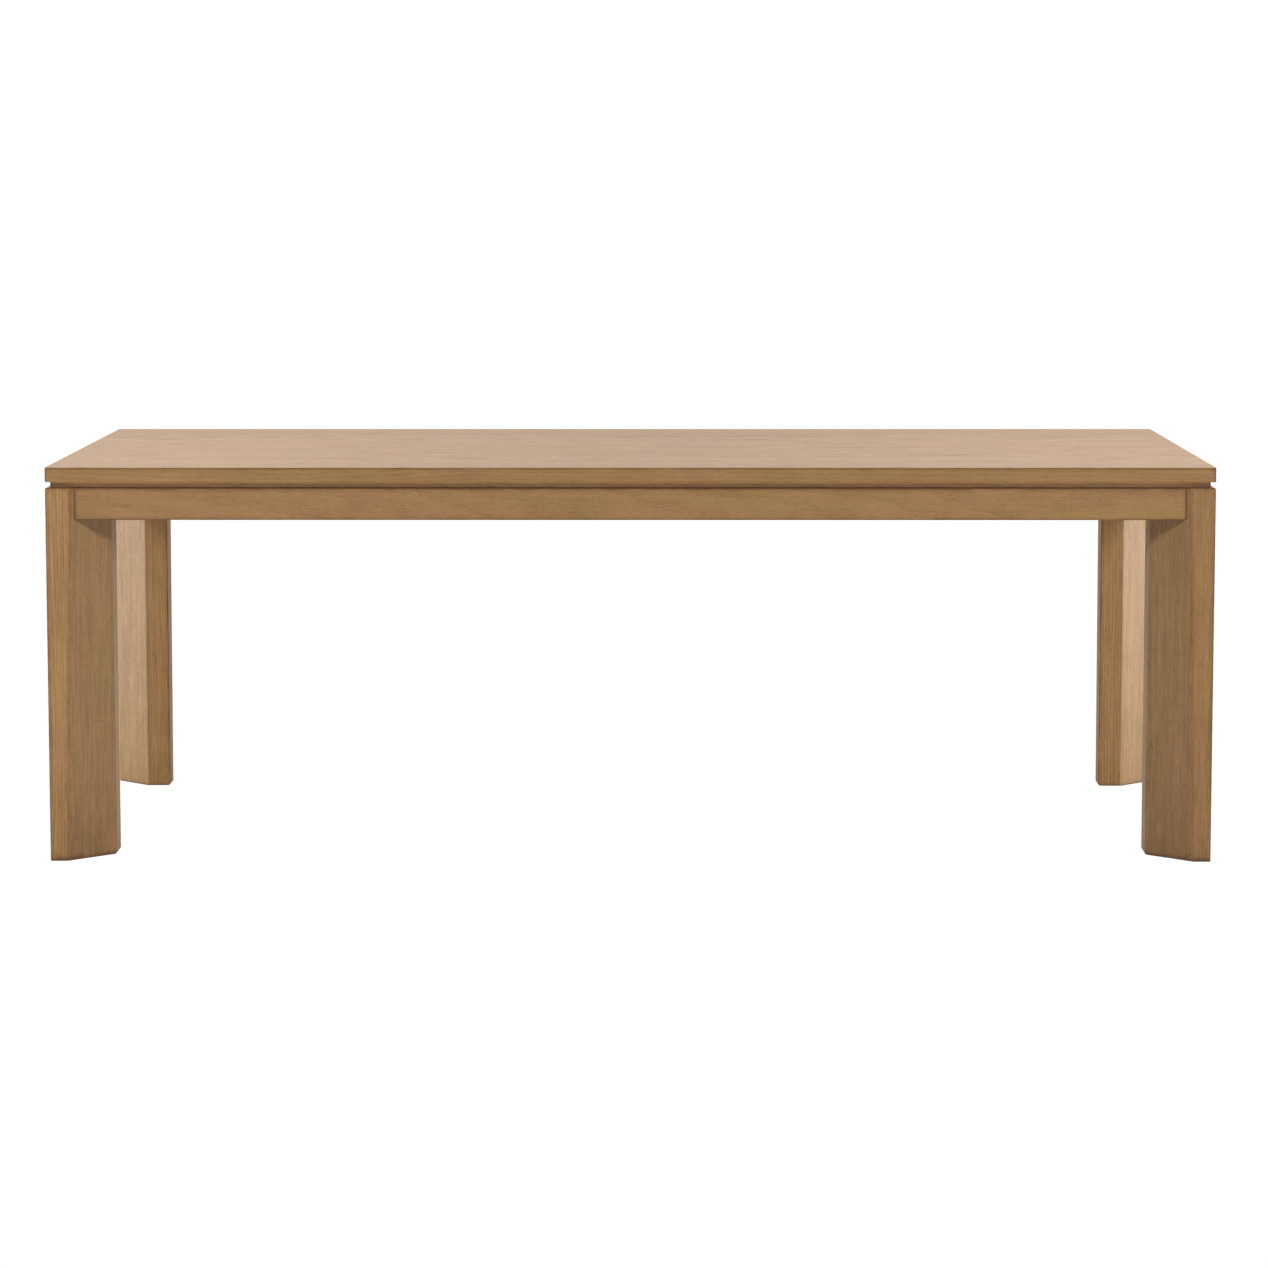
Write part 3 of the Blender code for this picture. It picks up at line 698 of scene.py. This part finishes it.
def corner_origin(corner):
    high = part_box("top_veneer")[1]
    side_x, side_y = CORNERS[corner]
    return Vector((high.x * side_x, high.y * side_y, 0))


def inward(corner):
    side_x, side_y = CORNERS[corner]
    return Matrix.Diagonal((-side_x, -side_y, 1))


def oblique_face(faces_long_side, top_height):
    """A point on and the outward normal of a leg's oblique face, in the corner frame."""
    if not faces_long_side:
        return Vector((0, LEG_END_FLAT, top_height)), Vector((-1, 1, 0)).normalized()
    top = Vector((LEG_FLAT, 0, top_height))
    floor = Vector((LEG_FLAT_AT_FLOOR, 0, 0))
    normal = Vector((1, 1, 0)).cross(top - floor).normalized()
    return top, normal * math.copysign(1, normal.x)


def strip_bottom():
    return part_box("reveal_strip_front")[0].z


# The aprons end this far off the legs' oblique faces
APRON_GAP = 1 * MM
APRON_OVERREACH = 200 * MM


def make_aprons():
    for order, (name, side) in enumerate(SIDES.items()):
        title = "apron_" + name
        faces_end = side[0] != 0
        low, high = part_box(title)
        along = Y if faces_end else X
        shape = box_between(low - along * APRON_OVERREACH, high + along * APRON_OVERREACH)
        for corner in CORNERS:
            if name in corner:
                point, normal = oblique_face(not faces_end, strip_bottom())
                point = corner_origin(corner) + inward(corner) @ (point + normal * APRON_GAP)
                slice_off(shape, point, -(inward(corner) @ normal))
        planes = face_planes(shape)
        round_edges(shape, shape.edges[:], APRON_RADIUS, 3)
        add_loops(shape, planes)
        mesh = mesh_from(shape, title)
        # Wear at the arrises, and painted shade under the slab's overhang along the apron's top
        mark_wear_and_shade(mesh, planes, high.z, APRON_TOP_SHADE_REACH)
        start = (40 + order * 6.7, 0.13 * order, 0)
        heart = (0, 0.62 + 0.13 * order, 0.24)
        material = oak_material("oak_" + title, along, Z, start, heart, rings=0.12)
        finish_wood(title, mesh, material)


def leg_blank(low_height, high_height, width, depth):
    shape = box_between((0, 0, low_height), (width, depth, high_height))
    for faces_long_side in (True, False):
        point, normal = oblique_face(faces_long_side, strip_bottom())
        slice_off(shape, point, normal)
    return shape


# An edge is at a leg's inner end if its shares of the leg's width and depth add up to more
INNER_END = 1.2


def weigh_leg_edges(shape, low_height, width, depth):
    """Weights for a bevel that eases every edge, and rounds the foot more round its inner end."""
    weights = shape.edges.layers.float.new("bevel_weight_edge")
    for edge in shape.edges:
        middle = (edge.verts[0].co + edge.verts[1].co) / 2
        at_foot = all(v.co.z < low_height + FIT for v in edge.verts)
        at_inner_end = middle.x / width + middle.y / depth > INNER_END
        edge[weights] = 1.0 if at_foot and at_inner_end else LEG_RADIUS / FOOT_RADIUS


def evaluated_mesh(piece):
    """The mesh that an object's modifiers give; the object is then removed."""
    graph = bpy.context.evaluated_depsgraph_get()
    mesh = bpy.data.meshes.new_from_object(piece.evaluated_get(graph))
    bpy.data.objects.remove(piece)
    return mesh


def combined(first, second, operation):
    """Two meshes put together by a Boolean."""
    base = new_object("base", first)
    tool = new_object("tool", second)
    boolean = base.modifiers.new("combine", "BOOLEAN")
    boolean.operation = operation
    boolean.object = tool
    mesh = evaluated_mesh(base)
    bpy.data.objects.remove(tool)
    return mesh


def turned(profile, steps):
    """A closed turned shape about Z from (radius, height) points that run down its outer side."""
    shape = bmesh.new()
    rings = []
    for radius, height in profile:
        ring = []
        for k in range(steps if radius else 1):
            angle = math.tau * k / steps
            ring.append(shape.verts.new((radius * math.cos(angle), radius * math.sin(angle), height)))
        rings.append(ring)
    for upper, lower in zip(rings, rings[1:]):
        for k in range(steps):
            loop = [upper[k % len(upper)], lower[k % len(lower)]]
            loop += [lower[(k + 1) % len(lower)], upper[(k + 1) % len(upper)]]
            corners = list(dict.fromkeys(loop))
            if len(corners) > 2:
                shape.faces.new(corners)
    return shape


def plain_pin(radius, low, high, steps):
    return turned([(0, high), (radius, high), (radius, low), (0, low)], steps)


def diagonal_of(corner):
    """The direction from a corner of the table inwards."""
    return (inward(corner) @ Vector((1, 1, 0))).normalized()


def diagonal_place(corner, height):
    """The matrix that lays +Z along a corner's diagonal, pointing inwards, at a height."""
    turn = diagonal_of(corner).to_track_quat("Z", "Y").to_matrix().to_4x4()
    return Matrix.Translation(corner_origin(corner) + Z * height) @ turn


def span_along(node, origin, direction):
    """How far a CAD node reaches along a direction from a point: its nearest and farthest."""
    reaches = [(v.co - origin).dot(direction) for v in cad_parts[node].data.vertices]
    return min(reaches), max(reaches)


# Sizes inside a leg: cutters' overreach, the bolt holes' depth, the stem's hole, the recess for
# the glide pad, and the insert's barrel
CUTTER_REACH = 200 * MM
NOTCH_OVERREACH = 10 * MM
BOLT_HOLE_DEPTH = 48 * MM
BOLT_HOLE_OVERREACH = 60 * MM
STEM_HOLE_TOP = 58 * MM
STEM_HOLE_RADIUS = 4.5 * MM
RECESS_DEPTH = 1.8 * MM
RECESS_ROOM = 2 * MM
INSERT_BARREL = 6 * MM


def leg_cutters(corner):
    """The notch for the corner block, the bolt holes, and the stepped hole in the foot."""
    block_low, block_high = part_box("corner_block_" + corner)
    start = span_along("corner_block_" + corner, corner_origin(corner), diagonal_of(corner))[0]
    reach = CUTTER_REACH
    notch = box_between((-reach, -reach, start - FIT), (reach, reach, start + reach))
    notch.transform(diagonal_place(corner, 0))
    for v in notch.verts:
        upper = v.co.z > 0
        v.co.z = block_high.z + NOTCH_OVERREACH if upper else block_low.z - LEG_NOTCH_ROOM
    cutters = [mesh_from(notch, "notch")]
    bolts = [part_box(f"hanger_bolt_{corner}_{level}") for level in ("upper", "lower")]
    for low, high in bolts:
        radius = (high.z - low.z) / 2 + FIT
        hole = plain_pin(radius, start - BOLT_HOLE_DEPTH, start + BOLT_HOLE_OVERREACH, 24)
        hole.transform(diagonal_place(corner, (low.z + high.z) / 2))
        cutters.append(mesh_from(hole, "bolt_hole"))
    insert_low, insert_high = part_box("foot_insert_" + corner)
    pad_low, pad_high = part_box("glide_pad_" + corner)
    middle = (insert_low + insert_high) / 2
    barrel = INSERT_BARREL + FIT
    recess = (pad_high.x - pad_low.x) / 2 + RECESS_ROOM
    recess_top = insert_low.z + RECESS_DEPTH
    profile = [
        (0, STEM_HOLE_TOP),
        (STEM_HOLE_RADIUS, STEM_HOLE_TOP),
        (STEM_HOLE_RADIUS, insert_high.z + FIT),
        (barrel, insert_high.z + FIT),
        (barrel, recess_top),
        (recess, recess_top),
        (recess, -FOOT_RADIUS),
        (0, -FOOT_RADIUS),
    ]
    bore = turned(profile, 48)
    bmesh.ops.translate(bore, vec=(middle.x, middle.y, 0), verts=bore.verts)
    cutters.append(mesh_from(bore, "foot_bore"))
    return cutters


# How much lighter or darker each leg is painted, as painted light and shade for how light
# falls on it, and how deep its heart line lies inwards
LEG_PAINTED_LIGHT_AND_SHADE = {
    "front_left": (1.08, 1.09, 1.12),
    "front_right": (0.94, 0.94, 0.94),
    "back_left": (1.11, 1.12, 1.12),
    "back_right": (1.18, 1.20, 1.20),
}
LEG_HEART_DEPTH = 60 * MM


def make_leg(order, corner):
    title = "leg_" + corner
    low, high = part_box(title)
    width, depth = high.x - low.x, high.y - low.y
    shape = leg_blank(low.z, high.z, width, depth)
    place = Matrix.Translation(corner_origin(corner)) @ inward(corner).to_4x4()
    planes = face_planes(shape)
    planes = [(place @ point, inward(corner) @ normal) for point, normal in planes]
    weigh_leg_edges(shape, low.z, width, depth)
    shape.transform(place)
    if place.determinant() < 0:
        bmesh.ops.reverse_faces(shape, faces=shape.faces)
    blank = new_object("blank", mesh_from(shape, title))
    bevel = blank.modifiers.new("eased_edges", "BEVEL")
    bevel.limit_method = "WEIGHT"
    bevel.width = FOOT_RADIUS
    bevel.segments = ARRIS_STEPS
    mesh = evaluated_mesh(blank)
    for cutter in leg_cutters(corner):
        mesh = combined(mesh, cutter, "DIFFERENCE")
    shape = bmesh.new()
    shape.from_mesh(mesh)
    add_loops(shape, planes)
    shape.to_mesh(mesh)
    shape.free()
    # Wear at the arrises, and painted shade at the foot near the floor
    mark_wear_and_shade(mesh, planes, low.z, FOOT_SHADE_REACH if "front" in corner else BACK_FOOT_SHADE_REACH)
    diagonal = diagonal_of(corner)
    across = diagonal.cross(Z)
    along = 60 + order * 7.9
    through = Z.cross(across)
    towards = math.copysign(1, diagonal.dot(through))
    heart_depth = corner_origin(corner).dot(through) - LEG_HEART_DEPTH * towards
    # The leg's tint is painted light or shade, and its oblique faces get painted shade
    material = oak_material(
        "oak_" + title,
        Z,
        across,
        start=(along, 0, 0),
        heart=(along + 0.5, corner_origin(corner).dot(across) + 0.02, heart_depth),
        painted_light_tint=LEG_PAINTED_LIGHT_AND_SHADE[corner],
        rings=0.6,
        streaks=2.6,
        shade_oblique_faces=True,
    )
    finish_wood(title, mesh, material)


# Hardware: threads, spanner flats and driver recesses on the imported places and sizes

THREAD_PITCH = 1.25 * MM
THREAD_DEPTH = 0.6 * MM
ROUND_STEPS = 32
BOLT_THREAD_FROM = 4 * MM
SCREW_HEAD_DEPTH = 3.2 * MM
SCREW_SHANK_RADIUS = 2.5 * MM
SCREW_TIP = 7 * MM
INSERT_BORE = 4.2 * MM
INSERT_FLANGE = 1.5 * MM
INSERT_NOTCH = 0.6 * MM
STEM_RADIUS = 3.9 * MM
STEM_FOOT_RADIUS = 5 * MM
STEM_COLLAR_HEIGHT = 4 * MM
PAD_SOCKET_RADIUS = 5.5 * MM
PAD_SOCKET_DEPTH = 3.5 * MM
HEX_ACROSS_FLATS = 13 * MM
NUT_FLANGE_RADIUS = 9 * MM


def thread_points(radius, top, bottom):
    """Outline points of a screw thread, running down."""
    count = int((top - bottom) / THREAD_PITCH)
    points = []
    for turn in range(count):
        crest = top - turn * THREAD_PITCH
        points.append((radius, crest))
        points.append((radius - THREAD_DEPTH, crest - THREAD_PITCH / 2))
    points.append((radius, bottom))
    return points


def hex_bar(across_flats, low, high):
    """A six-sided bar with its corners chamfered at both ends."""
    corner = across_flats / math.sqrt(3)
    shape = bmesh.new()
    middle = Matrix.Translation((0, 0, (low + high) / 2))
    radii = {"radius1": corner, "radius2": corner}
    bmesh.ops.create_cone(shape, cap_ends=True, segments=6, depth=high - low, matrix=middle, **radii)
    inner = across_flats / 2 * 0.97
    rise = (corner - inner) * 0.6
    barrel = turned(
        [(0, high), (inner, high), (corner, high - rise), (corner, low + rise), (inner, low), (0, low)],
        ROUND_STEPS,
    )
    return combined(mesh_from(shape, "hex"), mesh_from(barrel, "barrel"), "INTERSECT")


def finish_metal(name, mesh, place, body, material):
    """Places a copy of a hardware mesh as the piece that stands for a CAD node."""
    mesh = mesh.copy()
    mesh.transform(place)
    mesh.materials.clear()
    stand_in(name, mesh, body, material, METAL_SMOOTH_ANGLE)


def quarter_turn(steps):
    """Angles from zero to a right angle."""
    return [math.pi / 2 * step / steps for step in range(steps + 1)]


def bolt_mesh(low, high, radius, thread_from):
    """A hanger bolt along +Z: wood screw end in the leg, machine thread through the block."""
    chamfer = radius / 4
    profile = [(0, high), (radius - chamfer, high)]
    profile += thread_points(radius, high - chamfer, thread_from)
    profile += [(radius, low + radius * 2), (chamfer, low), (0, low)]
    return mesh_from(turned(profile, ROUND_STEPS), "hanger_bolt")


def nut_mesh(height, bore, flange_radius):
    """A flange nut along +Z: serrated round flange, chamfered hexagon, open bore."""
    flange_height = height * 0.22
    flange = turned(
        [
            (0, flange_height * 1.6),
            (flange_radius * 0.74, flange_height * 1.6),
            (flange_radius, flange_height * 0.6),
            (flange_radius, 0),
            (0, 0),
        ],
        ROUND_STEPS * 2,
    )
    body = hex_bar(flange_radius * HEX_ACROSS_FLATS / NUT_FLANGE_RADIUS, FIT, height)
    nut = combined(mesh_from(flange, "flange"), body, "UNION")
    hole = plain_pin(bore, -MM, height + MM, ROUND_STEPS)
    return combined(nut, mesh_from(hole, "hole"), "DIFFERENCE")


def screw_mesh(length, head_depth, head_radius, shank_radius):
    """A round-headed wood screw along +Z with a cross recess, its head's seat at zero."""
    head = [(head_radius * math.sin(a), -head_depth * math.cos(a)) for a in quarter_turn(6)]
    shank = thread_points(shank_radius, length - SCREW_TIP, length * 0.3)
    profile = [(0, length)] + shank + [(shank_radius * 0.8, 0)] + head[::-1]
    screw = mesh_from(turned(profile, ROUND_STEPS), "top_screw")
    for turn in (0, math.pi / 2):
        slot = box_between(
            (-head_radius * 0.5, -head_radius * 0.11, -head_depth * 2),
            (head_radius * 0.5, head_radius * 0.11, -head_depth * 0.35),
        )
        slot.transform(Matrix.Rotation(turn + math.pi / 4, 4, "Z"))
        screw = combined(screw, mesh_from(slot, "slot"), "DIFFERENCE")
    return screw


def insert_mesh(low, high, flange_radius, barrel, bore):
    """A flanged insert with four driving notches in its flange and grooves on its barrel."""
    flange = low + INSERT_FLANGE
    profile = [(0, high), (bore, high)] + thread_points(barrel, high, flange + MM)
    profile += [(barrel, flange), (flange_radius, flange), (flange_radius, low), (bore, low), (0, low)]
    insert = mesh_from(turned(profile, ROUND_STEPS), "foot_insert")
    hole = plain_pin(bore, low - MM, high + MM, ROUND_STEPS)
    insert = combined(insert, mesh_from(hole, "hole"), "DIFFERENCE")
    for turn in (0, math.pi / 2):
        reach = flange_radius * 2
        notch = box_between((-reach, -MM, low - MM), (reach, MM, low + INSERT_NOTCH))
        notch.transform(Matrix.Rotation(turn, 4, "Z"))
        insert = combined(insert, mesh_from(notch, "notch"), "DIFFERENCE")
    return insert


def stem_mesh(low, high, collar_low, collar_high):
    """A glide stem: machine thread above a spanner collar, and a round foot below it."""
    radius = STEM_RADIUS
    foot = STEM_FOOT_RADIUS
    profile = [(0, high), (radius * 0.75, high)]
    profile += thread_points(radius, high - radius / 4, collar_high + MM)
    profile += [(radius, collar_high - MM), (foot, collar_high - MM), (foot, low), (0, low)]
    shaft = mesh_from(turned(profile, ROUND_STEPS), "shaft")
    return combined(hex_bar(HEX_ACROSS_FLATS, collar_low, collar_high), shaft, "UNION")


def pad_mesh(height, radius):
    """A moulded glide pad: socket on top, softly rounded rim, flat sole."""
    socket = PAD_SOCKET_RADIUS
    socket_floor = height - PAD_SOCKET_DEPTH
    rim = height * 0.3
    profile = [(0, socket_floor), (socket, socket_floor), (socket, height)]
    for a in quarter_turn(6):
        profile.append((radius - rim + rim * math.sin(a), height - rim + rim * math.cos(a)))
    sole = height / 6
    for a in quarter_turn(4):
        profile.append((radius - sole + sole * math.cos(a), sole - sole * math.sin(a)))
    profile.append((0, 0))
    return mesh_from(turned(profile, ROUND_STEPS * 2), "glide_pad")


def paint(node, slot, material):
    """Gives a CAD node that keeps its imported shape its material."""
    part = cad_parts[node]
    if not part.material_slots:
        part.data.materials.append(None)
    for place in part.material_slots:
        place.link = "OBJECT"
        place.material = material


def make_corner_hardware(corner, materials, screw):
    origin = corner_origin(corner)
    diagonal = diagonal_of(corner)
    block_near = span_along("corner_block_" + corner, origin, diagonal)[0]
    for level in ("upper", "lower"):
        title = f"hanger_bolt_{corner}_{level}"
        low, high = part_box(title)
        place = diagonal_place(corner, (low.z + high.z) / 2)
        near, far = span_along(title, origin, diagonal)
        mesh = bolt_mesh(near, far, (high.z - low.z) / 2, block_near + BOLT_THREAD_FROM)
        finish_metal(title, mesh, place, "frame", materials["bolt"])
        title = f"flange_nut_{corner}_{level}"
        nut_near, nut_far = span_along(title, origin, diagonal)
        nut_low, nut_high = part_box(title)
        mesh = nut_mesh(nut_far - nut_near, (high.z - low.z) / 2 + FIT, (nut_high.z - nut_low.z) / 2)
        place = place @ Matrix.Translation((0, 0, nut_near))
        finish_metal(title, mesh, place, "frame", materials["nut"])
    place_screw("top_screw_block_" + corner, screw, materials["screw"])

    insert_low, insert_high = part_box("foot_insert_" + corner)
    middle = (insert_low + insert_high) / 2
    place = Matrix.Translation((middle.x, middle.y, 0))
    flange_radius = (insert_high.x - insert_low.x) / 2
    mesh = insert_mesh(insert_low.z, insert_high.z, flange_radius, INSERT_BARREL, INSERT_BORE)
    finish_metal("foot_insert_" + corner, mesh, place, "frame", materials["insert"])
    title = "glide_pad_" + corner
    pad_low, pad_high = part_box(title)
    mesh = pad_mesh(pad_high.z, (pad_high.x - pad_low.x) / 2)
    finish_metal(title, mesh, place, title, materials["pad"])
    title = "glide_stem_" + corner
    stem_low, stem_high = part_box(title)
    collar = pad_high.z + FIT
    mesh = stem_mesh(stem_low.z, stem_high.z, collar, collar + STEM_COLLAR_HEIGHT)
    finish_metal(title, mesh, place, title, materials["stem"])


def place_screw(title, mesh, material):
    low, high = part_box(title)
    middle = (low + high) / 2
    place = Matrix.Translation((middle.x, middle.y, low.z + SCREW_HEAD_DEPTH))
    finish_metal(title, mesh, place, "frame", material)


# Clean and tarnished colours of the plated parts
ZINC = ((0.60, 0.61, 0.60, 1), (0.36, 0.37, 0.36, 1))
BRIGHT_ZINC = ((0.66, 0.66, 0.65, 1), (0.42, 0.42, 0.40, 1))
YELLOW_ZINC = ((0.62, 0.50, 0.25, 1), (0.40, 0.34, 0.28, 1))
STEEL = ((0.50, 0.50, 0.50, 1), (0.33, 0.32, 0.31, 1))


def make_hardware():
    materials = {
        "bolt": metal_material("zinc_bolt_plating", *ZINC),
        "nut": metal_material("zinc_nut_plating", *BRIGHT_ZINC),
        "screw": metal_material("yellow_zinc_plating", *YELLOW_ZINC),
        "insert": metal_material("insert_steel", *STEEL),
        "stem": metal_material("stem_plating", *ZINC),
        "pad": nylon_material("pad_nylon"),
    }
    low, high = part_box("top_screw_block_front_left")
    length = high.z - low.z - SCREW_HEAD_DEPTH
    screw = screw_mesh(length, SCREW_HEAD_DEPTH, (high.x - low.x) / 2, SCREW_SHANK_RADIUS)
    for corner in CORNERS:
        make_corner_hardware(corner, materials, screw)
    for side in ("left", "right"):
        for end in ("front", "back"):
            place_screw(f"top_screw_rail_{side}_{end}", screw, materials["screw"])


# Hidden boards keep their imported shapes


def paint_hidden_boards():
    paint("top_core", "core_board", board_material("core_board_sealed"))
    for order, name in enumerate(("left", "right")):
        title = "cross_rail_" + name
        paint(title, "cross_rail", softwood_material("pine_" + title, Y, Z, (order * 3.0, 0.1, 0.4)))
    for order, corner in enumerate(CORNERS):
        across = diagonal_of(corner).cross(Z)
        block = softwood_material("pine_block_" + corner, across, Z, (9 + order * 2.0, 0.2, 0.3))
        paint("corner_block_" + corner, "corner_block", block)


# Studio: white floor and surround, soft lights, and the camera in front


def add_light(name, place, target, width, height, power):
    light = bpy.data.lights.new(name, "AREA")
    light.shape = "RECTANGLE"
    light.size = width
    light.size_y = height
    light.energy = power
    lamp = new_object(name, light)
    lamp.location = place
    lamp.rotation_euler = (Vector(target) - Vector(place)).to_track_quat("-Z", "Y").to_euler()


# Brightness of the white that the camera sees, and the floor's glow to what is close over it
WHITE_LEVEL = 1.02
FLOOR_GLOW = 0.5
FLOOR_GLOW_REACH = 20 * MM


def make_floor():
    """A wide white floor: plain white to the camera, unseen from below.

    It glows to what stands close over it, so that the undersides of the feet aren't black.
    """
    shape = bmesh.new()
    bmesh.ops.create_grid(shape, x_segments=1, y_segments=1, size=30)
    floor = new_object("studio_floor", mesh_from(shape, "studio_floor"))
    material, nodes, shader = new_material("studio_floor")
    nodes.feed(shader.inputs["Base Color"], (0.80, 0.80, 0.80, 1))
    nodes.feed(shader.inputs["Roughness"], 0.9)
    ray = nodes.add("ShaderNodeLightPath").outputs
    close = nodes.math("LESS_THAN", ray["Ray Length"], FLOOR_GLOW_REACH)
    paint = nodes.mix_shaders(close, shader.outputs[0], nodes.emission(FLOOR_GLOW))
    seen = nodes.mix_shaders(ray["Is Camera Ray"], paint, nodes.emission(WHITE_LEVEL))
    below = nodes.add("ShaderNodeNewGeometry").outputs["Backfacing"]
    clear = nodes.add("ShaderNodeBsdfTransparent").outputs[0]
    surface = nodes.mix_shaders(below, seen, clear)
    nodes.feed(nodes.tree.nodes["Material Output"].inputs["Surface"], surface)
    floor.data.materials.append(material)
    floor.location.z = -0.2 * MM


# Brightness of the soft surround towards each side, as seen by the table but not by the camera
SURROUND = ((Y, 1.50), (-Y, 0.08))


def make_world():
    """A white surround: even to the camera, and brighter on some sides to the table."""
    world = bpy.data.worlds.new("studio")
    world.use_nodes = True
    nodes = Nodes(world.node_tree)
    direction = nodes.add("ShaderNodeTexCoord").outputs["Generated"]
    shares = []
    for side, level in SURROUND:
        towards = nodes.math("MAXIMUM", nodes.vector("DOT_PRODUCT", direction, side), 0.0)
        shares.append(nodes.times(nodes.times(towards, towards), level))
    camera = nodes.add("ShaderNodeLightPath").outputs["Is Camera Ray"]
    background = world.node_tree.nodes["Background"]
    nodes.feed(background.inputs["Color"], (1, 1, 1, 1))
    strength = nodes.add("ShaderNodeMix", data_type="FLOAT")
    nodes.feed(strength.inputs[0], camera)
    nodes.feed(strength.inputs[2], nodes.sum(*shares))
    nodes.feed(strength.inputs[3], WHITE_LEVEL)
    nodes.feed(background.inputs["Strength"], strength.outputs[0])
    bpy.context.scene.world = world


# Lights' powers in watts
KEY_POWER = 95
SIDE_POWERS = {"left": 31, "right": 37}
OVERHEAD_POWER = 17


def make_lights():
    """For each end: a strip high in front, a soft box overhead and one behind the end."""
    low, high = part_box("top_veneer")
    front = low.y
    for name, power in SIDE_POWERS.items():
        side = SIDES[name][0]
        corner = (side * high.x, front, 0.6)
        add_light("key_" + name, (side * 3.0, front - 3.0, 3.0), corner, 1.4, 0.4, KEY_POWER)
        end = (side * high.x, 0.2, 0.35)
        add_light("side_" + name, (side * 3.2, 0.9, 0.55), end, 1.6, 1.1, power)
        over = side * 1.2
        aim = (over, 0.1, high.z)
        add_light("overhead_" + name, (over, 0.1, 2.2), aim, 1.0, 1.4, OVERHEAD_POWER)


# The camera stands this far right of the middle, before the slab's front edge and above its top,
# and looks down, round to the left and a touch askew
CAMERA_RIGHT = 0.07
CAMERA_BEFORE = 8.074
CAMERA_ABOVE = 0.607
CAMERA_DOWN = math.radians(6.544)
CAMERA_ROUND = math.radians(0.438)
CAMERA_ASKEW = math.radians(0.026)
FOCAL_LENGTH = 120.5
SENSOR_WIDTH = 36


def make_camera():
    low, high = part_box("top_veneer")
    lens = bpy.data.cameras.new("camera")
    lens.sensor_width = SENSOR_WIDTH
    lens.lens = FOCAL_LENGTH
    lens.clip_end = 100
    camera = new_object("camera", lens)
    camera.location = (CAMERA_RIGHT, low.y - CAMERA_BEFORE, high.z + CAMERA_ABOVE)
    camera.rotation_euler = (math.radians(90) - CAMERA_DOWN, CAMERA_ASKEW, CAMERA_ROUND)
    bpy.context.scene.camera = camera


make_veneer()
make_lippings()
make_reveal_strips()
make_aprons()
for order, corner in enumerate(CORNERS):
    make_leg(order, corner)
make_hardware()
paint_hidden_boards()
make_floor()
make_world()
make_lights()
make_camera()
bpy.context.scene.view_settings.view_transform = "Standard"
